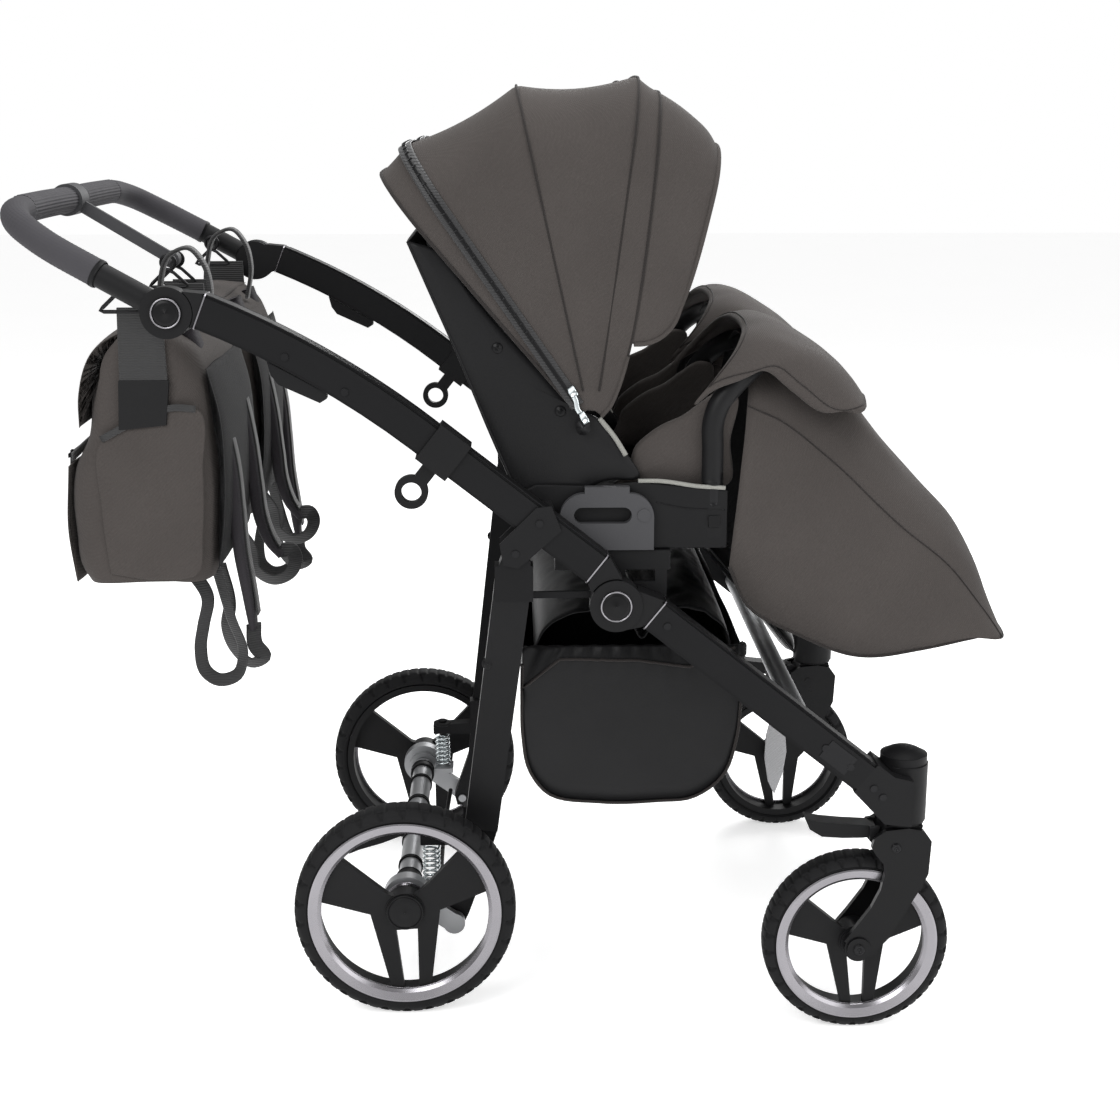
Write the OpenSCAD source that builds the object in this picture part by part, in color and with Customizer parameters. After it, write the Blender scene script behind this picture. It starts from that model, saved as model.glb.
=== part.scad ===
// Side-by-side twin stroller: folding aluminium frame, two seats with canopies and leg covers, two backpacks.
// X points forward, Y to the left and Z up. Side views are drawn as [x, z] from the rear axle's foot on the floor.

/* [Wheels] */
// Rear wheel diameter over the tyre
rear_wheel_d = 290; // [284:1:294]
// Front wheel diameter over the tyre
front_wheel_d = 240; // [234:1:242]
// Tyre width
tyre_w = 40; // [36:1:41]
// Rear wheel middle plane, from the stroller's middle
rear_track = 284; // [284:1:288]
// Front wheel and swivel middle, from the stroller's middle
front_track = 337; // [335:1:338]
// Front wheel axle, ahead of the rear axle
wheelbase = 583; // [580:1:586]

/* [Frame] */
// Outer face of the side tubes, from the stroller's middle
tube_out = 383; // [382:1:384]
// Width of the side tubes, across the stroller
tube_w = 30; // [29:1:30]
// Height of the side tubes
tube_h = 42; // [40:1:44]
// Diameter of the handle tube
handle_d = 30; // [28:1:32]
// Diameter of the rear axle tube
axle_tube_d = 30; // [28:1:30]

/* [Seats] */
// Middle of each seat, from the stroller's middle
seat_mid = 180; // [179:1:181]
// Half width of a seat shell, outside
seat_half = 158; // [156:1:158]
// Crown radius of a canopy about its pivot
canopy_r = 387; // [380:1:390]

/* [Storage] */
// Half width of the basket
basket_half = 308; // [290:1:310]
// Wall of the basket and canopy fabric
fabric = 3; // [2:0.5:3]

/* [Hidden] */

$fn = 64;
// From the middle of the stroller's length back to the rear axle
axle_back = 161.75;
tube_in = tube_out - tube_w;

// Main pivots, as [x, z]
fold_pivot = [268, 582];
tilt_pivot = [-252, 935];
leg_pivot = [147, 648];
link_pivot = [300, 590];
link_end = [140, 587];
rear_axle = [0, rear_wheel_d / 2];
front_axle = [wheelbase, front_wheel_d / 2];
suspension_pivot = [62, 100];
fork_pivot = [625, 258];
lock_pivot = [600, 272];
recline_pivot = [172, 704];
canopy_pivot = [237, 802];
legrest_pivot = [385, 639];
bag_pivot = [-313, 966];
swivel_x = 636;

// Upper side tube: an arc from the handle, then straight to the fold hub
arc_start = [-216, 937.5];
arc_r = 1045;
slope_start = 22;
slope_end = 38.2;
upper_end = [247, 626];
// Lower side tube, straight
lower_start = [312, 572];
lower_end = [580, 357];
lower_slope = atan2(lower_start.y - lower_end.y, lower_end.x - lower_start.x);

hub_r = 32;
tilt_hub_r = 30;
hub_split = 369.7;
gap = 0.3;
pin_fit = 0.06;
stub_r = 6;
link_pin_r = 3.5;

function above(a) = [sin(a), cos(a)];
function arc_point(a) = arc_start + arc_r * [sin(a) - sin(slope_start), cos(a) - cos(slope_start)];
function polar(c, r, a) = c + r * [cos(a), sin(a)];

// Everything is drawn from the rear axle, then moved so that the origin is mid-footprint
module place() translate([-axle_back, 0, 0]) children();
// The right side is drawn, at negative Y; the left side is its mirror image
module left() mirror([0, 1, 0]) children();
module both() {
    children();
    left() children();
}
// A side-view outline, between two distances from the middle
module slab(y0, y1) translate([0, -y0, 0]) rotate([90, 0, 0]) linear_extrude(y1 - y0) children();
// A cylinder across the stroller
module cross(p, d, y0, y1) slab(y0, y1) translate(p) circle(d = d);
// A block given by its corners in side view
module block(x0, x1, z0, z1, y0, y1) slab(y0, y1) translate([x0, z0]) square([x1 - x0, z1 - z0]);
module rod(a, b, d) {
    v = b - a;
    translate(a)
        rotate([0, acos(v.z / norm(v)), atan2(v.y, v.x)])
            cylinder(h = norm(v), d = d);
}
// A round tube swept along a bent path; its rings are square to the path, turned about the reference direction
sweep_sides = 16;
function unit(v) = v / norm(v);
function heading(path, i) = unit(path[min(i + 1, len(path) - 1)] - path[max(i - 1, 0)]);
function ring(path, i, r, ref) =
    let (t = heading(path, i), n = unit(cross(t, ref)), b = cross(t, n))
        [for (k = [0 : sweep_sides - 1])
            path[i] + r * (cos(k * 360 / sweep_sides) * n + sin(k * 360 / sweep_sides) * b)];
module swept_tube(path, d, ref) {
    last = len(path) - 1;
    points = [for (i = [0 : last]) each ring(path, i, d / 2, ref)];
    walls = [for (i = [0 : last - 1], k = [0 : sweep_sides - 1])
        let (a = i * sweep_sides, j = (k + 1) % sweep_sides)
            [a + k, a + j, a + sweep_sides + j, a + sweep_sides + k]];
    near_end = [[for (k = [sweep_sides - 1 : -1 : 0]) k]];
    far_end = [[for (k = [0 : sweep_sides - 1]) last * sweep_sides + k]];
    polyhedron(points, concat(walls, near_end, far_end));
}
// A straight bar's side view between two points
module bar(a, b, h) {
    v = b - a;
    translate(a) rotate(atan2(v.y, v.x)) translate([0, -h / 2]) square([norm(v), h]);
}

// ---- Frame tubes ----
module upper_outline(h) {
    steps = [for (i = [0 : 8]) slope_start + i * (slope_end - slope_start) / 8];
    top = [for (a = steps) arc_point(a) + h / 2 * above(a)];
    low = [for (i = [8 : -1 : 0]) arc_point(steps[i]) - h / 2 * above(steps[i])];
    ends = [upper_end + h / 2 * above(slope_end), upper_end - h / 2 * above(slope_end)];
    polygon(concat(top, ends, low));
}
module upper_tubes() place() color("#262627") both() {
    slab(tube_in + 3, tube_out - 3) upper_outline(tube_h);
    slab(tube_in, tube_out) upper_outline(tube_h - 7);
}
module lower_tubes() place() color("#262627") both() {
    slab(tube_in + 3, tube_out - 3) bar(lower_start, lower_end, tube_h);
    slab(tube_in, tube_out) bar(lower_start, lower_end, tube_h - 7);
}

// ---- Fold hubs: the lower casing outside, the upper knuckle inside ----
module lower_elbow_outline() polygon([
    lower_start + tube_h / 2 * above(lower_slope),
    lower_start - tube_h / 2 * above(lower_slope),
    polar(fold_pivot, hub_r, -75),
    fold_pivot,
    polar(fold_pivot, hub_r, 35)
]);
module fold_hubs() place() color("#2a2a2b") both() {
    difference() {
        slab(tube_in, tube_out) lower_elbow_outline();
        cross(fold_pivot, 2 * hub_r + 1, tube_in - 1, hub_split);
    }
    cross(fold_pivot, 2 * hub_r, hub_split, tube_out + 2);
    cross(fold_pivot, 38, tube_out + 2, tube_out + 3.5);
    cross(fold_pivot, 16, tube_in - 1, hub_split);
}
module upper_elbow_outline() polygon([
    upper_end - tube_h / 2 * above(slope_end),
    upper_end + tube_h / 2 * above(slope_end),
    polar(fold_pivot, hub_r, 75),
    fold_pivot,
    polar(fold_pivot, hub_r, 155)
]);
module tilt_elbow_outline() polygon([
    arc_start + tube_h / 2 * above(slope_start),
    arc_start - tube_h / 2 * above(slope_start),
    polar(tilt_pivot, tilt_hub_r, -95),
    tilt_pivot,
    polar(tilt_pivot, tilt_hub_r, 55)
]);
// The knuckles that end the upper tube: the handle's elbow above, the fold knuckle below
module handle_elbows() place() color("#2a2a2b") both() {
    difference() {
        slab(tube_in, tube_out) tilt_elbow_outline();
        cross(tilt_pivot, 2 * tilt_hub_r + 2, 361, tube_out + 1);
    }
    cross(tilt_pivot, 2 * tilt_hub_r - 2, tube_in, 361);
    difference() {
        union() {
            difference() {
                slab(tube_in, tube_out) upper_elbow_outline();
                cross(fold_pivot, 2 * hub_r + 3, hub_split - gap, tube_out + 1);
            }
            cross(fold_pivot, 2 * hub_r - 2, tube_in, hub_split - gap);
        }
        cross(fold_pivot, 16 + 2 * pin_fit, tube_in - 1, tube_out);
    }
}

// ---- Front swivel housings ----
module swivel_housings() place() color("#242425") both() {
    translate([swivel_x, -front_track, 288]) cylinder(h = 74, r = 31);
    translate([swivel_x, -front_track, 362]) cylinder(h = 12, r = 29.5);
    translate([swivel_x, -front_track, 374]) rotate_extrude()
        intersection() {
            translate([0, -34]) circle(r = 44);
            square([29.5, 12]);
        }
    difference() {
        slab(tube_in - 22, tube_out) polygon([
            lower_end + (tube_h / 2 + 2) * above(lower_slope),
            lower_end - (tube_h / 2 + 2) * above(lower_slope),
            [606, 296],
            [640, 292],
            [640, 352],
            [616, 358]
        ]);
        translate([swivel_x, -front_track, 250]) cylinder(h = 150, r = 30);
    }
}
module cross_tubes() place() color("#8c8d8f") {
    slab(-tube_in + 1, tube_in - 1) translate(fold_pivot) circle(d = 20);
    slab(-tube_in, tube_in) translate([505, 417]) circle(d = 26);
}

// ---- Seat mounts ----
module rail(y0, y1) {
    block(195, 336, 617, 641, y0, y1);
    difference() {
        block(255, 281, 585, 617, y0, y1);
        cross(fold_pivot, 20, y0 - 1, y1 + 1);
    }
}
module seat_rails() place() color("#202021") {
    both() {
        rail(326, 343);
        block(318, 332, 578, 617, 335, 343);
        block(292, 332, 578, 602, 335, 343);
        cross(link_pivot, 8, 343, 351);
    }
    rail(-22, 22);
}
// The seat's own clips: a grey pod with a finger slot, one on each side of each seat
module pod_outline() difference() {
    union() {
        translate([201, 643]) square([114, 40]);
        translate([231, 683]) circle(r = 30);
        translate([285, 683]) circle(r = 30);
        translate([231, 683]) square([54, 38]);
    }
    translate([228, 686]) circle(r = 10);
    translate([278, 686]) circle(r = 10);
    translate([228, 676]) square([50, 20]);
}
module adapter_pods() place() color("#48484a") both() {
    slab(seat_mid + seat_half, seat_mid + seat_half + 11) pod_outline();
    slab(seat_mid - seat_half - 11, seat_mid - seat_half) pod_outline();
    cross([303, 686], 16, seat_mid + seat_half + 11, seat_mid + seat_half + 12);
}

// ---- Seats ----
module seat_side_outline() polygon([
    [158, 704], [160, 716], [172, 722], [190, 724], [240, 722], [298, 728], [371, 719],
    [405, 716], [405, 641.5], [200, 641.5], [170, 668]
]);
module seat_shells() place() color("#1d1d1e") both() {
    for (y = [seat_mid - seat_half, seat_mid + seat_half - 4])
        slab(y, y + 4) seat_side_outline();
    block(205, 404, 641.5, 655, seat_mid - seat_half + 4, seat_mid + seat_half - 4);
    cross(recline_pivot, 10, seat_mid + seat_half - 11, seat_mid + seat_half - 4);
    cross(recline_pivot, 10, seat_mid - seat_half + 4, seat_mid - seat_half + 11);
}
module seat_pads() place() color("#4f4a49") both() {
    slab(seat_mid - 131, seat_mid + 131) polygon([
        [206, 656], [206, 682], [222, 692], [380, 696], [402, 686], [404, 656]
    ]);
}
module backrest_wing() polygon([
    [24, 1010], [50, 1003], [131, 909], [222, 812], [252, 800], [284, 748], [262, 732],
    [205, 700], [182, 688], [164, 690], [155, 704]
]);
module backrest() color("#1d1d1e") {
    difference() {
        for (y = [seat_mid - 151, seat_mid + 148])
            slab(y, y + 3) backrest_wing();
        cross(recline_pivot, 10 + 2 * pin_fit, 0, 2 * seat_mid);
    }
    // Moulded back panel and its pad
    slab(seat_mid - 148, seat_mid + 148) polygon([
        [20, 1008], [40, 1018], [166, 726], [152, 714]
    ]);
    slab(seat_mid - 140, seat_mid + 140) polygon([
        [46, 1004], [70, 990], [196, 738], [168, 730]
    ]);
    // Canopy pivot pins and the recline lever's casing
    cross(canopy_pivot, 14, seat_mid + 151, seat_mid + 166);
    cross(canopy_pivot, 14, seat_mid - 166, seat_mid - 151);
    slab(seat_mid - 60, seat_mid + 60) polygon([[36, 968], [22, 960], [44, 905], [60, 912]]);
}
module backrest_right() place() backrest();
module backrest_left() place() left() backrest();

// Bow-shaped canopy section: a profile swept about the pivot between two angles
module canopy_profile(r, half, wall) {
    shoulder = 70;
    difference() {
        union() {
            translate([8, -half]) square([r - 8 - shoulder, 2 * half]);
            translate([8, -half + shoulder]) square([r - 8, 2 * (half - shoulder)]);
            for (s = [-1, 1])
                translate([r - shoulder, s * (half - shoulder)]) circle(r = shoulder);
        }
        union() {
            translate([7, -half + wall]) square([r - 7 - shoulder, 2 * (half - wall)]);
            translate([7, -half + shoulder]) square([r - 7 - wall, 2 * (half - shoulder)]);
            for (s = [-1, 1])
                translate([r - shoulder, s * (half - shoulder)]) circle(r = shoulder - wall);
        }
    }
}
module canopy_section(r, half, a0, a1) color("#4f4a49") {
    translate([canopy_pivot.x, -seat_mid, canopy_pivot.y]) {
        rotate([90, 0, 0]) rotate([0, 0, a0])
            rotate_extrude(angle = a1 - a0, $fn = 96) canopy_profile(r, half, fabric);
        for (y = [-half, half - fabric])
            translate([0, y + fabric + 0.4, 0]) rotate([90, 0, 0]) difference() {
                cylinder(h = fabric + 0.8, r = 17);
                translate([0, 0, -1]) cylinder(h = fabric + 3, r = 7 + pin_fit);
            }
    }
}
module canopy_back() canopy_section(canopy_r, 165, 104, 131.5);
module canopy_front() canopy_section(canopy_r - 5, 160.5, 62, 103);
module canopy_back_right() place() canopy_back();
module canopy_back_left() place() left() canopy_back();
module canopy_front_right() place() canopy_front();
module canopy_front_left() place() left() canopy_front();

// Bumper bar: two posts that bend forward and in, and a crossbar
module bumper_bars() place() color("#232324") for (side = [-1, 1]) translate([0, side * seat_mid, 0])
    swept_tube([
        [389, -146, 668], [387, -146, 796], [396, -145, 822], [414, -140, 843],
        [434, -127, 858], [446, -108, 865], [450, -80, 867], [450, 80, 867], [446, 108, 865],
        [434, 127, 858], [414, 140, 843], [396, 145, 822], [387, 146, 796], [389, 146, 668]
    ], 26, [1, 0, 0]);

// Leg rest: a padded board on two arms
module legrest() color("#232324") difference() {
    union() {
        slab(seat_mid - 125, seat_mid + 125) bar([398, 622], [494, 498], 22);
        slab(seat_mid - 125, seat_mid + 125) translate([494, 498]) circle(d = 22);
        for (y = [seat_mid - 132, seat_mid + 120])
            slab(y, y + 12) bar(legrest_pivot, [420, 594], 18);
    }
    block(380, 412, 635, 660, 0, 2 * seat_mid);
}
module legrest_right() place() legrest();
module legrest_left() place() left() legrest();

// Leg cover: a hollow hood over the bumper bar, open below and towards the seat
module apron() color("#4f4a49") difference() {
    slab(seat_mid - 164, seat_mid + 164) polygon([
        [408, 626], [408, 716], [372, 800], [396, 866], [420, 892], [452, 905], [500, 892], [548, 850],
        [612, 766], [704, 670], [748, 590], [784, 494], [740, 503], [674, 510], [568, 500],
        [537, 508], [424, 574]
    ]);
    slab(seat_mid - 164 + 4, seat_mid + 164 - 4) polygon([
        [360, 540], [360, 800], [390, 862], [417, 886], [452, 899], [497, 886], [543, 845],
        [607, 761], [699, 666], [742, 588], [774, 500], [740, 480], [560, 470], [400, 520]
    ]);
}
module apron_right() place() apron();
module apron_left() place() left() apron();

// ---- Basket ----
module basket_outline(inset) polygon([
    [154 + inset, 505], [154 + inset, 345], [172, 304 + inset], [260, 295 + inset], [360, 298 + inset],
    [416, 318 + inset], [434 - inset, 360], [434 - inset, 470]
]);
module basket() place() color("#202021") difference() {
    slab(-basket_half, basket_half) basket_outline(0);
    slab(-basket_half + fabric, basket_half - fabric) union() {
        basket_outline(fabric);
        translate([154 + fabric, 468]) square([280 - 2 * fabric, 60]);
    }
}
module basket_cover() place() color("#47474a") slab(-basket_half + 12, basket_half - 12) polygon([
    [172, 506], [190, 536], [230, 556], [300, 562], [372, 552], [412, 520], [424, 480], [418, 480],
    [406, 514], [368, 544], [300, 554], [232, 548], [198, 530], [180, 506]
]);

// ---- Rear frame ----
leg_top = [143, -368, 604];
leg_in = 138;
leg_drop = 364;
leg_back = 43;
leg_tilt = atan2(leg_in, sqrt(pow(leg_drop, 2) + pow(leg_back, 2)));
leg_lean = atan2(leg_back, leg_drop);
leg_len = sqrt(pow(leg_in, 2) + pow(leg_drop, 2) + pow(leg_back, 2));
module rear_legs() place() color("#262627") both() {
    difference() {
        translate(leg_top) rotate([0, leg_lean, 0]) rotate([leg_tilt, 0, 0])
            translate([-22, -14, -leg_len]) cube([44, 28, leg_len]);
        block(100, 190, 560, 612, 330, 351.5);
    }
    difference() {
        union() {
            block(122, 168, 588, 632, tube_in + 1, tube_out - 1);
            slab(tube_in + 1, tube_out - 1) polygon([[126, 630], [166, 630], [160, 650], [134, 650]]);
            cross(leg_pivot, 32, tube_in + 1, tube_out - 1);
            cross(link_end, 2 * link_pin_r, 344, tube_in + 2);
        }
        cross(leg_pivot, 10 + 2 * pin_fit, tube_in, tube_out);
    }
}
module leg_clevises() place() color("#2a2a2b") both() {
    for (y = [tube_in - 2.5, tube_out + 0.2])
        slab(y, y + 2.3) polygon([
            [132, 634], [150, 630], [162, 640], [202, 676], [190, 706], [172, 704], [128, 660]
        ]);
    cross(leg_pivot, 10, tube_in - 2.5, tube_out + 2.5);
}
module catch_plates() place() color("#242425") both() slab(360, 376) polygon([
    [-140, 878], [-136, 862], [-128, 851], [-80, 829], [-72, 834], [-72, 840.5]
]);
module leg_brackets() place() color("#1f1f20") both() difference() {
    slab(207, 228) polygon([
        [76, 262], [122, 262], [120, 225], [100, 160], [82, 110], [72, 88], [54, 88], [50, 104],
        [72, 170], [76, 208], [18, 208], [18, 222], [76, 226]
    ]);
    cross(suspension_pivot, 12 + 2 * pin_fit, 200, 240);
}

// ---- Drag links, which close the fold linkage ----
module drag_links() place() color("#1a1a1b") both() difference() {
    slab(345, 350) {
        bar(link_end, [238, 588], 8);
        bar([238, 588], [256, 600], 8);
        bar([256, 600], [284, 600], 8);
        bar([284, 600], link_pivot, 8);
        translate(link_pivot) circle(r = 9);
        translate(link_end) circle(r = 10);
    }
    cross(link_pivot, 8 + 2 * pin_fit, 340, 352);
    cross(link_end, 14, 340, 352);
}

// ---- Rear axle, springs and brake ----
module axle_beam() place() color("#8c8d8f") {
    slab(-228, 228) translate(rear_axle) circle(d = axle_tube_d);
    both() {
        slab(231, 242) {
            bar(rear_axle, suspension_pivot, 26);
            translate(rear_axle) circle(r = 22);
            translate(suspension_pivot) circle(r = 14.5);
        }
        cross(rear_axle, 26, 226, 234);
        cross(rear_axle, 62, 240, 258);
        cross(rear_axle, 42, 256, rear_track - tyre_w / 2);
        cross(rear_axle, 2 * stub_r, 255, rear_track + 14);
        cross(suspension_pivot, 12, 204, 233);
        block(18, 48, 144, 151, 203, 238);
    }
}
// Coil springs as stacks of round-wire rings
spring_turns = 6;
spring_r = 10.5;
spring_low = 153;
spring_high = 206;
module rear_springs() place() color("#c8cace") both() translate([32, -217, 0])
    for (i = [0 : spring_turns - 1])
        translate([0, 0, spring_low + 1.8 + i * (spring_high - spring_low - 3.6) / (spring_turns - 1)])
            rotate_extrude($fn = 48) translate([spring_r, 0]) circle(r = 1.7, $fn = 16);
module brake_pedal() place() color("#1f1f20") difference() {
    union() {
        slab(-24, 24) translate(rear_axle) circle(d = axle_tube_d + 12);
        slab(-16, 16) polygon([
            [-14, 152], [-14, 134], [-50, 120], [-84, 110], [-98, 104], [-102, 112], [-86, 122], [-52, 138]
        ]);
    }
    slab(-26, 26) translate(rear_axle) circle(d = axle_tube_d + 2 * pin_fit);
}

// ---- Wheels, drawn about local Z with the outer face up ----
module tyre(r, bead) color("#1c1c1d") rotate_extrude($fn = 120) polygon([
    [bead, -tyre_w / 2 + 6], [bead + 4, -tyre_w / 2], [r - 12, -tyre_w / 2], [r - 4, -tyre_w / 2 + 6],
    [r, -tyre_w / 2 + 13], [r, tyre_w / 2 - 13], [r - 4, tyre_w / 2 - 6], [r - 12, tyre_w / 2],
    [bead + 4, tyre_w / 2], [bead, tyre_w / 2 - 6]
]);
// Half of the three-armed spider: a wide upper arm and one bar of the slotted lower arm
module half_spider() {
    polygon([[0, 16], [20, 24], [92, 92], [130, 60], [130, 28], [45, -2], [0, -20]]);
    polygon([[0, -20], [45, -2], [24, -118], [9, -118], [14, -26], [0, -26]]);
}
module spider(reach) intersection() {
    circle(r = reach);
    rotate(3.5) scale(reach / 113) {
        half_spider();
        mirror([1, 0]) half_spider();
    }
}
module rim(bead, cap_r) color("#222223") {
    face = tyre_w / 2;
    difference() {
        union() {
            rotate_extrude($fn = 120)
                translate([bead - 10, -face + 2]) square([9.9, tyre_w - 11.2]);
            translate([0, 0, face - 20]) linear_extrude(10.8) spider(bead - 9);
            translate([0, 0, -face + 1]) cylinder(h = tyre_w - 8, r = cap_r + 2);
            translate([0, 0, face - 8]) cylinder(h = 4, r = cap_r);
        }
        translate([0, 0, -face - 1]) cylinder(h = tyre_w - 4, r = stub_r + pin_fit);
    }
}
module trim_ring(bead) color("#b9babd") {
    face = tyre_w / 2;
    rotate_extrude($fn = 120) polygon([
        [bead - 14, face - 9], [bead - 14, face - 5], [bead - 10, face - 1.5], [bead, face + 1],
        [bead + 2, face + 0.4], [bead - 0.6, face - 5.5], [bead - 0.6, face - 9]
    ]);
}
module wheel_at(p, track) place() translate([p.x, -track, p.y]) rotate([90, 0, 0]) children();
module rear_at() wheel_at(rear_axle, rear_track) children();
module front_at() wheel_at(front_axle, front_track) children();
rear_bead = rear_wheel_d / 2 - 21;
front_bead = front_wheel_d / 2 - 18;
module rear_tyre_right() rear_at() tyre(rear_wheel_d / 2, rear_bead);
module rear_rim_right() rear_at() rim(rear_bead, 23.5);
module rear_trim_right() rear_at() trim_ring(rear_bead);
module rear_tyre_left() left() rear_tyre_right();
module rear_rim_left() left() rear_rim_right();
module rear_trim_left() left() rear_trim_right();
module front_tyre_right() front_at() tyre(front_wheel_d / 2, front_bead);
module front_rim_right() front_at() difference() {
    rim(front_bead, 20);
    translate([0, 0, -30]) cylinder(h = 60, r = stub_r + pin_fit);
}
module front_trim_right() front_at() trim_ring(front_bead);
module front_tyre_left() left() front_tyre_right();
module front_rim_left() left() front_rim_right();
module front_trim_left() left() front_trim_right();

// ---- Front forks ----
module fork() color("#242425") {
    translate([swivel_x, -front_track, 284]) cylinder(h = 3.7, r = 29);
    slab(front_track - 23.5, front_track + 23.5) polygon([
        [604, 250], [604, 268], [614, 284.2], [660, 284.2], [652, 250]
    ]);
    cross(fork_pivot, 10, front_track - 33, front_track + 33);
    // Ears that hold the lock lever's pin
    for (y = [front_track - 19, front_track + 13])
        slab(y, y + 6) polygon([[604, 262], [594, 264], [594, 280], [606, 282]]);
    cross(lock_pivot, 6, front_track - 14, front_track + 14);
}
// One curved cheek of the fork, from its pivot lobe down to the wheel axle
module cheek_outline() {
    translate(front_axle) circle(r = 18);
    polygon([
        [564, 130], [577, 147], [597, 176], [608, 200], [612, 220], [610, 236], [600, 248], [594, 258],
        [598, 272], [612, 281], [640, 284], [660, 280], [670, 266], [668, 222], [661, 206], [648, 182],
        [622, 134], [598, 108]
    ]);
}
module fork_arm() color("#242425") difference() {
    union() {
        for (y = [front_track + 24, front_track - 32])
            slab(y, y + 8) cheek_outline();
        slab(front_track - 25, front_track + 25) translate([658, 224]) square([9, 22]);
        cross(front_axle, 2 * stub_r, front_track - 32, front_track + 32);
        cross(front_axle, 30, front_track + 32, front_track + 35);
    }
    cross(fork_pivot, 10 + 2 * pin_fit, front_track - 40, front_track + 40);
}
module swivel_lock() color("#1f1f20") difference() {
    slab(front_track - 12.5, front_track + 12.5) polygon([
        [603, 266], [603, 278], [592, 281], [560, 283], [532, 286], [512, 290], [518, 276], [534, 266],
        [560, 264], [586, 264]
    ]);
    cross(lock_pivot, 6 + 2 * pin_fit, front_track - 14, front_track + 14);
}
module fork_right() place() fork();
module fork_left() place() left() fork();
module fork_arm_right() place() fork_arm();
module fork_arm_left() place() left() fork_arm();
module swivel_lock_right() place() swivel_lock();
module swivel_lock_left() place() left() swivel_lock();

// ---- Handle ----
grip_path = [
    [-330, -364, 978], [-392, -352, 1012], [-424, -328, 1031], [-440, -290, 1041], [-444, -240, 1045],
    [-444, 0, 1045]
];
grip_full = concat(grip_path, [for (i = [4 : -1 : 0]) [grip_path[i].x, -grip_path[i].y, grip_path[i].z]]);
module handle_bar() place() color("#242425") {
    both() {
        difference() {
            cross(tilt_pivot, 2 * tilt_hub_r, 361.3, tube_out);
            cross(tilt_pivot, 36, tube_out - 7, tube_out + 5);
        }
        difference() {
            rod([-252, -368, 935], grip_path[0], handle_d);
            cross(tilt_pivot, 2 * tilt_hub_r - 1, 340, tube_out + 5);
        }
        cross(bag_pivot, 8, 327, 360);
    }
}
module handle_grip() place() color("#38383a") swept_tube(grip_full, handle_d + 3, [0, 0, 1]);
module handle_clamp() place() color("#4b4b4d") {
    difference() {
        translate([-444, 21, 1045]) rotate([90, 0, 0]) cylinder(h = 42, d = handle_d + 12);
        translate([-444, 24, 1045]) rotate([90, 0, 0]) cylinder(h = 48, d = handle_d + 3.4);
    }
    slab(-4, 4) bar([-428, 1036], bag_pivot, 16);
    slab(-10, 10) translate(bag_pivot) circle(r = 11);
    cross(bag_pivot, 8, -31, 31);
}
module tilt_button() color("#2a2a2b") {
    cross(tilt_pivot, 35, tube_out - 3, tube_out + 1.5);
    cross(tilt_pivot, 26, tube_out + 1.5, tube_out + 3);
}
module tilt_button_right() place() tilt_button();
module tilt_button_left() place() left() tilt_button();

// Release slider: a collar on the upper tube with a finger ring below it
slider_mid = [63, 770.8];
module slider_frame() translate(slider_mid) rotate(-slope_end) children();
module release_slider() color("#1f1f20") difference() {
    union() {
        slab(tube_in - 3.5, tube_out + 3.5) slider_frame() square([44, tube_h + 9], center = true);
        slab(362, 374) slider_frame() {
            translate([0, -tube_h / 2 - 18]) square([18, 36], center = true);
            translate([0, -tube_h / 2 - 42]) circle(r = 20);
        }
    }
    slab(tube_in - 0.8, tube_out + 0.8) slider_frame() square([60, tube_h + 1.6], center = true);
    slab(350, 386) slider_frame() translate([0, -tube_h / 2 - 42]) circle(r = 12);
}
module release_slider_right() place() release_slider();
module release_slider_left() place() left() release_slider();

// ---- Screws ----
module screws(points, y) for (p = points) cross(p, 9, y, y + 1.4);
module upper_screws() place() color("#3a3a3b") both() {
    screws([[-50, 843], [-118, 884]], tube_out);
    screws([[176, 685], [147, 648]], tube_out + 2.5);
}
module frame_screws() place() color("#3a3a3b") both() {
    slab(tube_out, tube_out + 1) difference() {
        bar([528, 398], [560, 372.6], 26);
        for (p = [[528, 398], [560, 372.6]]) translate(p) circle(r = 4.6);
    }
    screws([[528, 398], [560, 372.6], [590, 344], [602, 332], [330, 556]], tube_out);
}

// ---- Backpacks ----
module bag_outline() polygon([
    [-236, 598], [-372, 594], [-390, 604], [-396, 660], [-390, 740], [-372, 762], [-368, 830], [-352, 880],
    [-320, 902], [-268, 904], [-238, 890], [-216, 820], [-208, 740], [-216, 660]
]);
module bag() color("#4f4a49") {
    slab(32, 328) bag_outline();
    // Webbing and hooks that hang it from the handle
    for (y = [28.6, 328.4])
        slab(y, y + 3) {
            translate([-335, 820]) square([44, 118]);
            difference() {
                polygon([[-339, 938], [-287, 938], [-298, 966], [-313, 980], [-328, 966]]);
                translate([-313, 962]) circle(r = 10);
            }
        }
    // Shoulder straps
    for (y = [92, 228])
        slab(y, y + 46) polygon([
            [-236, 896], [-218, 880], [-196, 790], [-184, 690], [-174, 600], [-176, 520], [-196, 450],
            [-206, 454], [-190, 522], [-190, 600], [-200, 690], [-206, 740], [-216, 820], [-238, 890]
        ]);
}
module bag_right() place() bag();
module bag_left() place() left() bag();

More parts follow.
